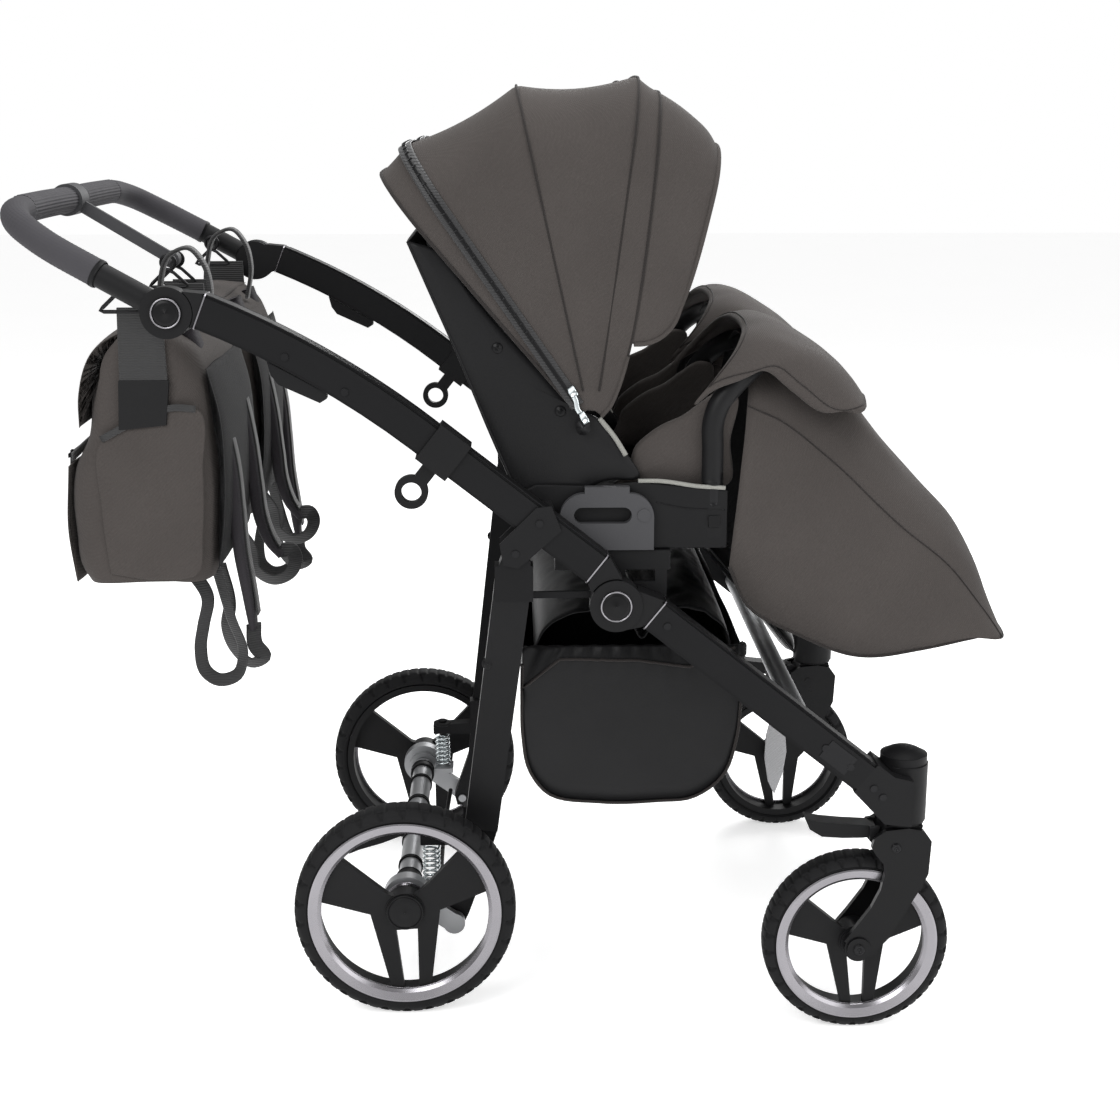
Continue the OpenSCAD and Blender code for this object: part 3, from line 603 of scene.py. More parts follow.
# ---- Handle grip: ribbed rubber across the back, mesh rubber on the arms ----
GRIP = [(-330, -364, 978), (-392, -352, 1012), (-424, -328, 1031), (-440, -290, 1041), (-444, -240,
        1045)]


def ribs(i, a):
    return 1 + 0.022 * np.cos(26 * a) + 0 * i


def mesh_rubber(i, a):
    return 1 + 0.02 * np.cos(13 * a + 1.05 * i) * np.cos(13 * a - 1.05 * i)


for side, s in SIDES.items():
    arm = spline([(x, -s * y, z) for x, y, z in GRIP], 120)
    sweep(f"grip_arm_{side}", arm, (0, 0, 1), 16.6, 16.6, "grip_rubber", "handle", 2, 78,
            ripple=mesh_rubber,
          replaces=["handle_grip"] if side == "right" else ())
    path = spline([(-444, s * 242, 1045), (-444, s * 120, 1045.6), (-444, s * 21, 1045)], 30)
    sweep(f"grip_bar_{side}", path, (0, 0, 1), 16.9, 16.9, "grip_rubber", "handle", 2, 156, ripple=ribs)
    # Moulded lip where the rubber ends
    t = unit(np.array(GRIP[1], float) - np.array(GRIP[0], float)) * (1, -s, 1)
    lip = np.array((-330, s * 364, 978.0))
    sweep(f"grip_lip_{side}", [lip - 3 * t, lip - 1 * t, lip + 3 * t], (0, 0, 1), [16.4, 17.3, 17.3],
          [16.4, 17.3, 17.3], "plastic_black", "handle", 2, 48)
for s in (-1, 1):
    sweep(f"clamp_edge_{'a' if s < 0 else 'b'}", [(-444, s * 20.5, 1045), (-444, s * 22.5, 1045)], (0, 0,
            1),
          20.2, 20.2, "plastic_grey", "handle", 2, 60, bevel=0.8)

# ---- Canopies ----
PIVOT = np.array([237.0, 802.0])
HALF = 163.0
CORNER = 84.0
BOWS = [  # bottom (x, z), top (x, z), sag of the panel in front of it: crown, sides
    ((226, 806), (-10, 1082), 1.0, 1.0),
    ((229, 809), (19, 1113), 7.0, 4.0),
    ((234, 813), (152, 1183), 9.0, 6.0),
    ((243, 812), (296, 1193), 1.5, 1.0),
    ((251, 806), (321, 1176), 0.0, 0.0),
]
PROFILE_N = 81


def rib_profile(length, half=HALF, corner=CORNER, start=0.0):
    """Fractions up the rib and distances across for one hoop, near side to far side."""
    side = (length - corner) * np.linspace(0, 1, 25)
    q = np.linspace(0, math.pi / 2, 11)[1:]
    turn = length - corner + corner * np.sin(q)
    turn_y = half - corner + corner * np.cos(q)
    across = np.linspace(half - corner, 0, 7)[1:]
    up = np.r_[side, turn, length + 0 * across]
    y = np.r_[half + 0 * side, turn_y, across]
    up = np.r_[up, up[:-1][::-1]] / length
    y = np.r_[-y, y[:-1][::-1]]
    return start + (1 - start) * up, y


FRONT_START = 0.232


def forward(f, k):
    return 18.0 * np.sin(np.pi * np.clip(f, 0, 1) ** 0.55) * k


def bow_line(k):
    (bx, bz), (tx, tz), _, _ = BOWS[k]
    f, y = rib_profile(math.hypot(tx - bx, tz - bz))
    x = bx + (tx - bx) * f + forward(f, 1.0 if k == 4 else 0.12 if k == 3 else 0)
    z = bz + (tz - bz) * f + 7 * np.maximum(0, 1 - (y / HALF) ** 2) * (f > 0.6)
    return np.stack([x, y, z], 1), f


def canopy_grid(first, last, per=14):
    rows = []
    for k in range(first, last):
        (a, f), (b, _) = bow_line(k), bow_line(k + 1)
        crown, sides = BOWS[k][2], BOWS[k][3]
        for s in np.linspace(0, 1, per, endpoint=False):
            m = a + (b - a) * s
            pull = 4 * s * (1 - s)
            centre = np.stack([0 * f + PIVOT[0], 0 * f, 0 * f + PIVOT[1]], 1)
            radial = unit((m - centre) * (1, 0, 1))
            top = np.clip((f - 0.7) / 0.3, 0, 1)
            m = m - radial * (crown * pull * top)[:, None]
            m[:, 1] -= np.sign(m[:, 1]) * sides * pull * np.sin(np.pi * np.clip(f, 0, 1)) * (np.abs(m[:,
                    1]) > 90)
            rows.append(m)
    rows.append(bow_line(last)[0])
    g = np.array(rows)
    shift = smooth_shift(g, 5, 150, 1.3).reshape(g.shape[:2])
    edge = np.minimum(1, np.linspace(0, 1, PROFILE_N) * 8)
    g[:, :, 1] += np.sign(g[:, :, 1]) * shift * (edge * edge[::-1])[None, :]
    return g


def visor_grid(count=22):
    (bx, bz), (tx, tz), _, _ = BOWS[4]
    f, y = rib_profile(0.77 * math.hypot(tx - bx, tz - bz), start=FRONT_START)
    base = np.stack([bx + (tx - bx) * f + forward(f, 1.0), y, bz + (tz - bz) * f], 1)
    base[:, 2] += 7 * np.maximum(0, 1 - (y / HALF) ** 2) * (f > 0.6)
    low = spline([(0, 0), (20, 1), (38, 9), (52, 24), (60, 44)], count)
    high = spline([(0, 0), (22, -13), (42, -28), (60, -45), (70, -62)], count)
    g = (f - FRONT_START) / (1 - FRONT_START)
    rows = []
    for i in range(count):
        s = i / (count - 1)
        m = base.copy()
        m[:, 0] += low[i, 0] + (high[i, 0] - low[i, 0]) * g
        m[:, 2] += low[i, 1] + (high[i, 1] - low[i, 1]) * g
        m[:, 0] += 5 * math.sin(math.pi * s) * np.sin(np.pi * g) * 0.6
        m[:, 1] -= np.sign(m[:, 1]) * (3 * math.sin(math.pi * s) + 9 * s**2 * (1 - g)) * (np.abs(y) > 60)
        rows.append(m)
    return np.array(rows)


MAIN, VISOR = canopy_grid(0, 4), visor_grid()


def at(grid, y):
    g = grid.copy()
    g[..., 1] += y
    return g


def out_normals(g):
    n = np.cross(np.gradient(g, axis=0), np.gradient(g, axis=1))
    return unit(n)


for side, s in SIDES.items():
    y = s * SEAT_MID
    ride = (f"backrest_{side}", f"canopy_{side}", row_point(60, 900, y), row_point(340, 900, y))
    n = out_normals(MAIN)
    if n[20, 40, 2] < 0:
        n = -n
    main = piece(f"canopy_sheet_{side}", at(MAIN, y), grid_faces(*MAIN.shape[:2]),
                 ["fabric_grey", "fabric_black"], ride, thick=2.4, subsurf=1,
                 replaces=[f"canopy_back_{side}"])
    visor = piece(f"canopy_visor_{side}", at(VISOR, y), grid_faces(*VISOR.shape[:2]),
                  ["fabric_grey", "fabric_black"], ride, thick=2.6, subsurf=1,
                  replaces=[f"canopy_front_{side}"])
    # Seams along the bows, drawn as dark cords that paint the seams' shadow lines (painted shade over a
    # slight ridge), a rolled edge in front and the zip behind
    for k, r, mat in ((0, 2.2, "piping_dark"), (2, 1.5, "piping_dark"), (3, 1.5, "piping_dark"), (4, 1.7,
            "piping_dark")):
        line = bow_line(k)[0]
        line = line[2:-2]
        cord_line(f"canopy_seam_shade_{k}_{side}", line + (0, y, 0), r, mat, ride, ref=(1, 0,
                0.2))
    rolled = np.vstack([VISOR[1:, 0] - (0, 0, 0), VISOR[-1, 1:-1], VISOR[1:, -1][::-1]])
    cord_line(f"canopy_edge_{side}", rolled + (0, y, 0), 2.8, "fabric_grey", ride, ref=(1,
            0.3, 0.2))
    front_low = np.array([bow_line(4)[0][i] for i in range(0, 7)])
    for e in (1, -1):
        cord_line(f"canopy_hem_{'n' if e > 0 else 'f'}_{side}", front_low * (1, e, 1) + (0,
                y, 0), 2.4,
                               "fabric_grey", ride, ref=(0, 1, 0))
    zip_at = 14
    zn, zc = n[zip_at], MAIN[zip_at]
    across = unit(np.cross(np.gradient(zc, axis=0), zn))
    for k, (half, up, mat) in enumerate(((8.5, 1.4, "zip_tape"), (2.4, 2.6, "plastic_gloss"))):
        bar = sweep_points(zc + zn * up, across, half, 0.8 if k == 0 else 1.3, 4 if k == 0 else 2.4, 12)
        merged(f"canopy_zip_{k}_{side}", [bar[1:-1] + (0, y, 0)], mat, ride)
    teeth = []
    for p, a, q in list(zip(zc + zn * 3.9, across, np.gradient(zc, axis=0)))[9:79]:
        teeth.append(sweep_points([p - a * 2.6, p + a * 2.6], unit(q), 1.0, 0.7, 4, 6) + (0, y, 0))
    merged(f"canopy_teeth_{side}", teeth, "screw_black", ride)
    # Bows inside the cloth, and their hinge plates at the pivot
    for k, body in ((1, f"backrest_{side}"), (2, f"backrest_{side}"), (4, f"canopy_{side}")):
        line = bow_line(k)[0].copy()
        inward = unit(np.stack([line[:, 0] - PIVOT[0], 0.4 * line[:, 1], line[:, 2] - PIVOT[1]], 1))
        inset = 2 if k == 2 else 1     # the folding bow passes outside the middle one
        line = line - inward * 7 * inset
        line[:, 1] -= np.sign(line[:, 1]) * 3.5 * (2 * inset - 1)
        cord_line(f"bow_{k}_{side}", line[1:-1:2] + (0, y, 0), 3.4, "plastic_black", body, ref=(1, 0,
                0.2))
    for e in (-1, 1):
        face = y + e * 162.5
        lathe(f"canopy_pin_{e + 1}_{side}", [(0.2, 3.2), (4.6, 3.0), (5.2, 1.2), (8.2, 1.0), (9, -1.5)],
              (229, face, 792), e, "screw_black", f"backrest_{side}", steps=32)
        # Metal pulls of the two zips
        pull = [(214, 0, 836), (220, 0, 826), (222, 0, 816), (229, 0, 806)]
        links = [sweep_points(spline([(x, face + e * 4.2, z) for x, _, z in pull], 18), (1, 0, 0.6), 3.2,
                1.4, 3, 10),
                 sweep_points([(213, face + e * 3.4, 842), (219, face + e * 3.8, 831)], (1, 0, 0.6), 5.0,
                 2.2, 4, 12),
                 sweep_points([(226, face + e * 4.5, 812), (233, face + e * 5, 799)], (1, 0, 0.6), 4.2,
                 1.6, 4, 12)]
        merged(f"zip_pull_{e + 1}_{side}", links, "spring_steel", f"backrest_{side}")


# ---- Seats ----
def pad(name, outline, y0, y1, mat, ride, bulge=4.0, **more):
    """A stuffed panel: a side-view outline between two Y values, with full, rounded faces."""
    o = spline(np.vstack([outline, outline[:1]]), 65)[:-1]
    mid, half = (y0 + y1) / 2, (y1 - y0) / 2
    c = o.mean(0)
    pts, n = [], len(o)
    def ring(shrink_mm, y):
        d = unit(c - o)
        return [[*(p + e * shrink_mm)[:1], y, (p + e * shrink_mm)[1]] for p, e in zip(o, d)]
    seq = []
    for k, q in enumerate(np.linspace(-1.45, 1.45, 9)):
        seq.append((bulge * (1 - math.cos(q)) * 1.4, mid + half * math.sin(q) / math.sin(1.45)))
    for shrink, y in seq:
        pts += ring(shrink, y)
    faces = [[i * n + j, i * n + (j + 1) % n, (i + 1) * n + (j + 1) % n, (i + 1) * n + j]
             for i in range(len(seq) - 1) for j in range(n)]
    count = len(pts)
    for base, sign in ((0, -1), ((len(seq) - 1) * n, 1)):
        prev = base
        for t in (0.25, 0.5, 0.75):
            start = len(pts)
            y_face = mid + sign * (half + bulge * (1 - (1 - t) ** 2) * 0.9)
            src = np.array(pts[base:base + n])[:, [0, 2]]
            for p in src:
                q2 = p + (c - p) * t
                pts.append([q2[0], y_face, q2[1]])
            for j in range(n):
                f = [prev + j, prev + (j + 1) % n, start + (j + 1) % n, start + j]
                faces.append(f if sign > 0 else f[::-1])
            prev = start
        start = len(pts)
        pts.append([c[0], mid + sign * (half + bulge), c[1]])
        for j in range(n):
            f = [prev + j, prev + (j + 1) % n, start]
            faces.append(f if sign > 0 else f[::-1])
    return piece(name, pts, faces, mat, ride, **more)


def thick_sheet(low, high, half, seed, wave, count=15):
    """A cushion panel across the seat: low and high are matching side-view curves of its two faces."""
    lo, hi = spline(low, 26), spline(high, 26)
    y = half * np.sin(np.linspace(-1, 1, count) * math.pi / 2)
    loop = np.vstack([lo, hi[::-1]])
    mid = (lo + hi) / 2
    mids = np.vstack([mid, mid[::-1]])
    rings = []
    for v in y:
        k = abs(v) / half
        squeeze = math.sqrt(max(0.0, 1 - k**6)) * (1 - 0.25 * k**2)
        r = mids + (loop - mids) * max(squeeze, 0.12)
        rings.append(np.stack([r[:, 0], np.full(len(r), v), r[:, 1]], 1))
    g = np.array(rings)
    g[:, :, 2] += smooth_shift(g, seed, 90, wave).reshape(g.shape[:2])
    n = g.shape[1]
    faces = grid_faces(count, n, wrap_v=True) + [list(range(n))[::-1],
            [(count - 1) * n + k for k in range(n)]]
    return g, faces


WING = [(24, 1012), (52, 1004), (92, 956), (131, 909), (178, 858), (222, 812), (249, 801), (272, 771),
        (298, 728), (262, 726), (205, 700), (182, 690), (164, 690), (153, 704), (118, 786), (83, 874),
        (53, 944)]
for side, s in SIDES.items():
    y = s * SEAT_MID
    back, seat = f"backrest_{side}", "chassis"
    # Leatherette wings, curved a little outward, with light piping along their front edge
    for e in (-1, 1):
        tag = "n" if e < 0 else "f"
        o = spline(np.vstack([WING, WING[:1]]), 97)[:-1]
        c = np.array([150.0, 850.0])
        pts, n = [], len(o)
        for depth, out in ((0.0, -3.0), (0.0, 0.6), (0.03, 2.0), (0.3, 2.6), (0.7, 3.0)):
            r = o + (c - o) * depth
            lean = 4.0 * np.clip((r[:, 1] - 800) / 200, 0, 1)
            pts += [[p[0], y + e * (149.5 + out + q * 0.4), p[1]] for p, q in zip(r, lean)]
        pts.append([c[0], y + e * 153.2, c[1]])
        faces = [[i * n + j, i * n + (j + 1) % n, (i + 1) * n + (j + 1) % n, (i + 1) * n + j]
                 for i in range(4) for j in range(n)] + [[4 * n + j, 4 * n + (j + 1) % n,
                         5 * n] for j in range(n)]
        faces.append(list(range(n))[::-1])
        if e < 0:
            faces = [f[::-1] for f in faces]
        piece(f"wing_{tag}_{side}", pts, [f[::-1] for f in faces], "leatherette", back,
                     replaces=[f"backrest_{side}"] if e < 0 else ())
        edge = spline([(249, y + e * 151.5, 802), (268, y + e * 152, 778), (281, y + e * 152.3, 757)],
                20)
        cord_line(f"wing_piping_{tag}_{side}", edge, 3.0, "piping_light", back, ref=(0, 1, 0))
        rear = spline([(p[0] - 0.6, y + e * 151, p[1]) for p in [WING[i] for i in (0, 16, 15, 14, 13)]],
                40)
        cord_line(f"wing_seam_{tag}_{side}", rear, 1.8, "leatherette", back, ref=(0, 1, 0))
        for k, (x, z) in enumerate(((127, 887), (202, 811))):
            lathe(f"snap_{tag}_{k}_{side}", [(0.2, 3.4), (2.6, 3.2), (3.0, 2.2), (5.4, 2.6), (6.4, 1.6),
                    (6.8, 0)],
                  (x, y + e * 152.3, z), e, "plastic_gloss", back, steps=28)
        cord_line(f"seat_piping_{tag}_{side}",
                  spline([(296, y + e * 156.6, 726), (320, y + e * 157, 726), (371, y + e * 157.5, 719),
                          (402, y + e * 157.5, 717)], 26), 2.6, "piping_light", seat, ref=(0, 1, 0))
    # Moulded back shell and the padded backrest in front of it
    shell_lo = [(20, 1010), (50, 940), (80, 870), (115, 786), (150, 706)]
    shell_hi = [(28, 1014), (58, 944), (90, 872), (124, 790), (160, 712)]
    g, faces = thick_sheet(shell_lo, shell_hi,
        149, seed=3, wave=0.3)
    piece(f"back_shell_{side}", at(g, y), faces, "leatherette", back)
    inner_lo = [(38, 1012), (62, 960), (92, 885), (128, 800), (166, 722)]
    inner_hi = [(62, 1006), (84, 962), (112, 896), (150, 812), (196, 736)]
    g, faces = thick_sheet(inner_lo, inner_hi,
        143, seed=4, wave=1.6)
    cushion = piece(f"back_pad_{side}", at(g, y), faces, "fabric_black", back, subsurf=1)
    for e in (-1, 1):
        bol = pad(f"back_bolster_{'n' if e < 0 else 'f'}_{side}",
                  [(70, 1000), (96, 990), (180, 870), (236, 800), (262, 760), (230, 738), (190, 740),
                  (140, 800), (80, 930)],
                  *sorted((y + e * 147, y + e * 133)), "fabric_black", back, bulge=3)
    # Seat shell sides and floor, seat cushion
    side_shell = [(158, 704), (160, 716), (172, 722), (190, 722), (240, 720), (298, 725), (371, 717),
            (405, 714),
                  (405, 642), (200, 642), (172, 666)]
    for e in (-1, 1):
        lo, hi = sorted((y + e * 153.8, y + e * 158))
        slab(f"seat_side_{'n' if e < 0 else 'f'}_{side}", side_shell, lo, hi, "plastic_black", seat,
                bevel=2.0,
             replaces=["seat_shells"] if (side, e) == ("right", -1) else ())
        sweep(f"seat_side_line_{'n' if e < 0 else 'f'}_{side}",
              spline([(318, y + e * 158.2, 700), (350, y + e * 158.3, 693), (402, y + e * 158.2, 690)],
              16),
              (0, 1, 0), 0.5, 0.8, "plastic_gloss", seat, 2, 8)
    slab(f"seat_floor_{side}", [(205, 641.8), (370, 641.8), (370, 655), (205, 655)], y - 154, y + 154,
         "plastic_black", seat)
    g, faces = thick_sheet([(208, 657), (300, 657), (400, 657)], [(208, 700), (300, 702), (400, 700)],
        146, seed=6, wave=1.4)
    cushion = piece(f"seat_cushion_{side}", at(g, y), faces, "fabric_black", seat, subsurf=1,
                    replaces=["seat_pads"] if side == "right" else ())
    for e in (-1, 1):
        bol = pad(f"side_bolster_{'n' if e < 0 else 'f'}_{side}",
                  [(268, 716), (286, 742), (294, 764), (306, 776), (326, 790), (352, 802), (374, 818),
                  (400, 832),
                   (412, 830), (410, 770), (408, 716), (390, 712), (330, 716)],
                  *sorted((y + e * 138, y + e * 122)), "fabric_grey", seat, bulge=4)
    # Leg rest: a shiny padded board
    g, faces = thick_sheet([(383, 624), (404, 598), (440, 554), (488, 492)],
                           [(394, 642), (424, 604), (460, 562), (506, 506)],
        127, seed=8, wave=0.8)
    rest = piece(f"legrest_pad_{side}", at(g, y), faces, "leather_shiny", f"legrest_{side}", subsurf=1,
                 replaces=[f"legrest_{side}"])
    for k, f in enumerate((0.34, 0.66)):
        p = np.array([399.0 + f * 98, 0, 634 - f * 128])
        sweep(f"legrest_stitch_{k}_{side}", [p + (0, y - 118, 0), p + (1, y, 1), p + (0, y + 118, 0)],
                (1, 0, -1),
              0.7, 0.9, "piping_dark", f"legrest_{side}", 2, 6)
    # Bumper bar: padded sleeve, collars and clips
    arch = [(387, -146, 722), (387, -146, 762), (387, -146, 796), (394, -145.5, 818), (410, -142, 838),
            (430, -130, 855),
            (444, -110, 864), (450, -80, 867), (450, 0, 868)]
    arch += [(x, -yy, z) for x, yy, z in arch[:-1][::-1]]
    path = spline(np.array(arch, float) + (0, y, 0), 90)
    sweep(f"bumper_sleeve_{side}", path, (1, 0, 0.2), 13.2, 13.2, "leatherette", seat, 2, 32,
          replaces=["bumper_bars"] if side == "right" else ())
    for e in (-1, 1):
        yy = y + e * 146
        tag = "n" if e < 0 else "f"
        sweep(f"bumper_collar_{tag}_{side}", [(388, yy, 694), (388, yy, 700), (387.4, yy, 733), (387.2,
                yy, 744)],
              (1, 0, 0), [12.4, 13.0, 13.0, 12.6], [12.4, 13.0, 13.0, 12.6], "screw_black", seat, 2, 36)
        sweep(f"bumper_clip_{tag}_{side}", [(389, yy, 648), (389, yy, 656), (388.6, yy, 690), (388.4, yy,
                700)],
              (1, 0, 0), [11.5, 13.6, 13.6, 12.0], [11.0, 12.6, 12.6, 11.5], "plastic_black", seat, 4.5,
              36)
        slab(f"clip_tab_{tag}_{side}", [(382, 668), (396, 668), (397, 683), (381, 683)],
             *sorted((yy + e * 11.8, yy + e * 14.4)), "plastic_gloss", seat, bevel=1.2)


# ---- Leg covers and their padded flaps ----
def hood(foot, ridge, wide, ribs_count, per, power=3.2):
    """Ribs over the seat: each runs from a foot at the side, over the ridge, to the other foot."""
    f, r = spline(foot, ribs_count), spline(ridge, ribs_count)
    w = np.interp(np.linspace(0, 1, ribs_count), np.linspace(0, 1, len(wide)), wide)
    a = np.linspace(0, math.pi, per)
    across = -np.sign(np.cos(a)) * np.abs(np.cos(a)) ** (2 / power)
    rise = np.abs(np.sin(a)) ** (2 / power)
    g = np.zeros((ribs_count, per, 3))
    g[..., 1] = w[:, None] * across[None]
    for axis, k in ((0, 0), (2, 1)):
        g[..., axis] = f[:, k][:, None] + (r - f)[:, k][:, None] * rise[None]
    return g


LEG_FOOT = [(408, 620), (430, 572), (500, 530), (568, 504), (655, 510), (724, 522)]
LEG_RIDGE = [(436, 884), (492, 870), (556, 820), (640, 728), (708, 655), (774, 512)]
FLAP_FOOT = [(356, 816), (372, 830), (416, 849), (441, 860), (476, 836), (520, 808), (545, 812)]
FLAP_RIDGE = [(428, 903), (436, 905), (452, 906), (472, 904), (514, 884), (566, 842), (585, 812)]
for side, s in SIDES.items():
    y = s * SEAT_MID
    g = hood(LEG_FOOT, LEG_RIDGE, [162, 163, 163, 160, 156, 146], 40, 49)
    g = g + out_normals(g) * smooth_shift(g, 21, 80, 1.6).reshape(g.shape[:2])[..., None]
    cover = piece(f"leg_cover_{side}", at(g, y), grid_faces(40, 49), ["fabric_grey", "fabric_black"],
                  "chassis", thick=1.6, replaces=[f"apron_{side}"])
    # Dark cords along the cover's seams paint the seams' shadow lines: painted shade over a slight ridge
    for k, line in enumerate((g[:, 10], g[:, 38], g[39, 8:41])):
        cord_line(f"leg_seam_shade_{k}_{side}", at(line, y) + (0, 0, 0.6), 1.1, "piping_dark",
                "chassis")
    for k, edge in enumerate((g[:, 0], g[:, -1])):
        cord_line(f"leg_hem_{k}_{side}", at(edge, y), 1.8, "piping_dark", "chassis")
    g = hood(FLAP_FOOT, FLAP_RIDGE, [160, 164, 166, 166, 166, 165, 164], 26, 37)
    g[..., 2] += 3 * np.exp(-((g[..., 0] - 455) / 26) ** 2) * (1 - (np.abs(g[..., 1]) / 170) ** 4)
    g = g + out_normals(g) * smooth_shift(g, 22, 70, 1.2).reshape(g.shape[:2])[..., None]
    flap = piece(f"leg_flap_{side}", at(g, y), grid_faces(26, 37), "fabric_grey", "chassis",
                 thick=9.0, subsurf=1)
    ring = np.concatenate([g[1, 1:-1], g[1:-1, -2], g[-2, 1:-1][::-1], g[1:-1, 1][::-1]])
    sweep(f"flap_stitch_{side}", at(ring, y) + (0, 0, 0.3), (0, 0, 1), 0.8, 0.8, "piping_dark",
            "chassis",
          2, 6, closed=True)

# ---- Bags behind the seats ----
def twist(path):
    """Webbing that hangs half turned to the side: its width direction along the path."""
    t = unit(np.gradient(path, axis=0))
    return 0.8 * np.cross(t, (0, 1, 0)) + np.array((0, 0.6, 0))


BAG_FRONT = [(-380, 600), (-392, 620), (-396, 660), (-392, 740), (-376, 775), (-368, 830), (-356, 875),
        (-330, 897)]
BAG_BACK = [(-228, 600), (-220, 620), (-216, 660), (-209, 740), (-212, 800), (-220, 850), (-236, 885),
        (-258, 900)]
for side, s in SIDES.items():
    y = s * SEAT_MID
    body = f"bag_{side}"
    f, b = spline(BAG_FRONT, 40), spline(BAG_BACK, 40)
    a = 2 * np.pi * np.arange(56) / 56
    ca = np.sign(np.cos(a)) * np.abs(np.cos(a)) ** (2 / 5.5)
    sa = np.sign(np.sin(a)) * np.abs(np.sin(a)) ** (2 / 5.5)
    rings = []
    for k in range(40):
        c, h = (f[k] + b[k]) / 2, (b[k] - f[k]) / 2
        rings.append(np.stack([c[0] + h[0] * ca, 146 * sa, c[1] + h[1] * ca], 1))
    for base, sign in ((rings[0], -1), (rings[-1], 1)):
        c = base.mean(0)
        caps = [c + (base - c) * (t, t, 1) + (0, 0, sign * 7 * math.sqrt(1 - t**2)) for t in (0.94, 0.8,
                0.5, 0.1)]
        rings = caps[::-1] + rings if sign < 0 else rings + caps
    g = np.array(rings)
    g = g + out_normals(g) * smooth_shift(g, 31, 90, 2.4).reshape(g.shape[:2])[..., None]
    n = g.shape[1]
    faces = grid_faces(len(g), n, wrap_v=True) + [list(range(n))[::-1],
            [(len(g) - 1) * n + k for k in range(n)]]
    bag = piece(f"bag_body_{side}", at(g, y), faces, "fabric_grey", body, replaces=[f"bag_{side}"])
    panel, faces = thick_sheet([(-384, 596), (-391, 660), (-388, 744)],
                               [(-399, 600), (-405, 660), (-398, 742)],
        128, seed=33, wave=1.4)
    pocket = piece(f"bag_pocket_{side}", at(panel, y), faces, "fabric_grey", body, subsurf=1)
    panel, faces = thick_sheet([(-262, 900), (-318, 900), (-350, 878), (-368, 830), (-370, 792)],
                               [(-262, 908), (-322, 909), (-358, 884), (-378, 830), (-379, 792)],
        138, seed=34, wave=1.0)
    lid = piece(f"bag_lid_{side}", at(panel, y), faces, "fabric_grey", body, subsurf=1)
    panel, faces = thick_sheet([(-222, 614), (-216, 660), (-211, 740), (-214, 810), (-226, 862)],
                               [(-213, 616), (-205, 660), (-200, 740), (-204, 806), (-217, 858)],
        132, seed=35, wave=1.2)
    rest = piece(f"bag_back_{side}", at(panel, y), faces, "fabric_black", body, subsurf=1)
    sweep(f"bag_zip_{side}", spline([(-390, y - 122, 752), (-392, y, 754), (-390, y + 122, 752)], 30),
            (0, 0, 1),
          5.5, 1.6, "zip_tape", body, 4, 12)
    merged(f"bag_zip_teeth_{side}", [sweep_points([(-394.5, y + v, 751), (-394.5, y + v, 756)], (0, 1,
            0), 1.0, 0.8, 4, 6)
                                     for v in np.arange(-118, 119, 3.2)], "screw_black", body)
    slab(f"bag_zip_pull_{side}", [(-396, 758), (-393, 758), (-394, 730), (-398, 730)], y - 104, y - 97,
         "plastic_black", body, bevel=0.8)
    for e in (-1, 1):
        tag = "n" if e < 0 else "f"
        lo, hi = sorted((y + e * 145.0, y + e * 149.0))
        pouch = pad(f"bag_side_{tag}_{side}", [(-346, 612), (-352, 690), (-346, 778), (-300, 802), (-258,
                816), (-232, 814),
                                               (-228, 740), (-232, 660), (-240, 612), (-290, 604)],
                    lo, hi, "fabric_grey", body, bulge=2.0)
        sweep(f"bag_binding_{tag}_{side}",
              spline([(-347, y + e * 150.2, 779), (-300, y + e * 151.4, 803), (-258, y + e * 150.6, 817),
                      (-233, y + e * 149.4, 815)], 24), (0, 0, 1), 4.2, 1.4, "webbing_black", body, 4,
                      12)
        slab(f"bag_web_{tag}_{side}", [(-319, 936), (-267, 936), (-264, 845), (-321, 845)],
             *sorted((y + e * 148.4, y + e * 151.6)), "webbing_black", body, bevel=0.6)
        slab(f"bag_patch_{tag}_{side}", [(-322, 850), (-262, 850), (-268, 796), (-325, 790)],
             *sorted((y + e * 147.0, y + e * 152.8)), "leatherette", body, bevel=1.0)
        t = np.linspace(0, 2 * np.pi, 33)[:-1]
        ring = np.stack([-313 + 9.3 * np.cos(t), np.full(32, y + e * 150.0), 963.3 + 9.3 * np.sin(t)], 1)
        sweep(f"bag_ring_{tag}_{side}", ring, (0, 1, 0), 2.5, 2.5, "screw_black", body, 2, 14,
                closed=True)
        tri = [(-313, 953.5), (-306, 950), (-291, 936), (-288, 932.5), (-292, 931), (-313, 931), (-334,
                931),
               (-338, 932.5), (-335, 936), (-320, 950)]
        tri = np.array([(px, y + e * 150.0, pz) for px, pz in tri])
        sweep(f"bag_triangle_{tag}_{side}", tri, (0, 1, 0), 2.4, 2.4, "screw_black", body, 2, 12,
                closed=True)
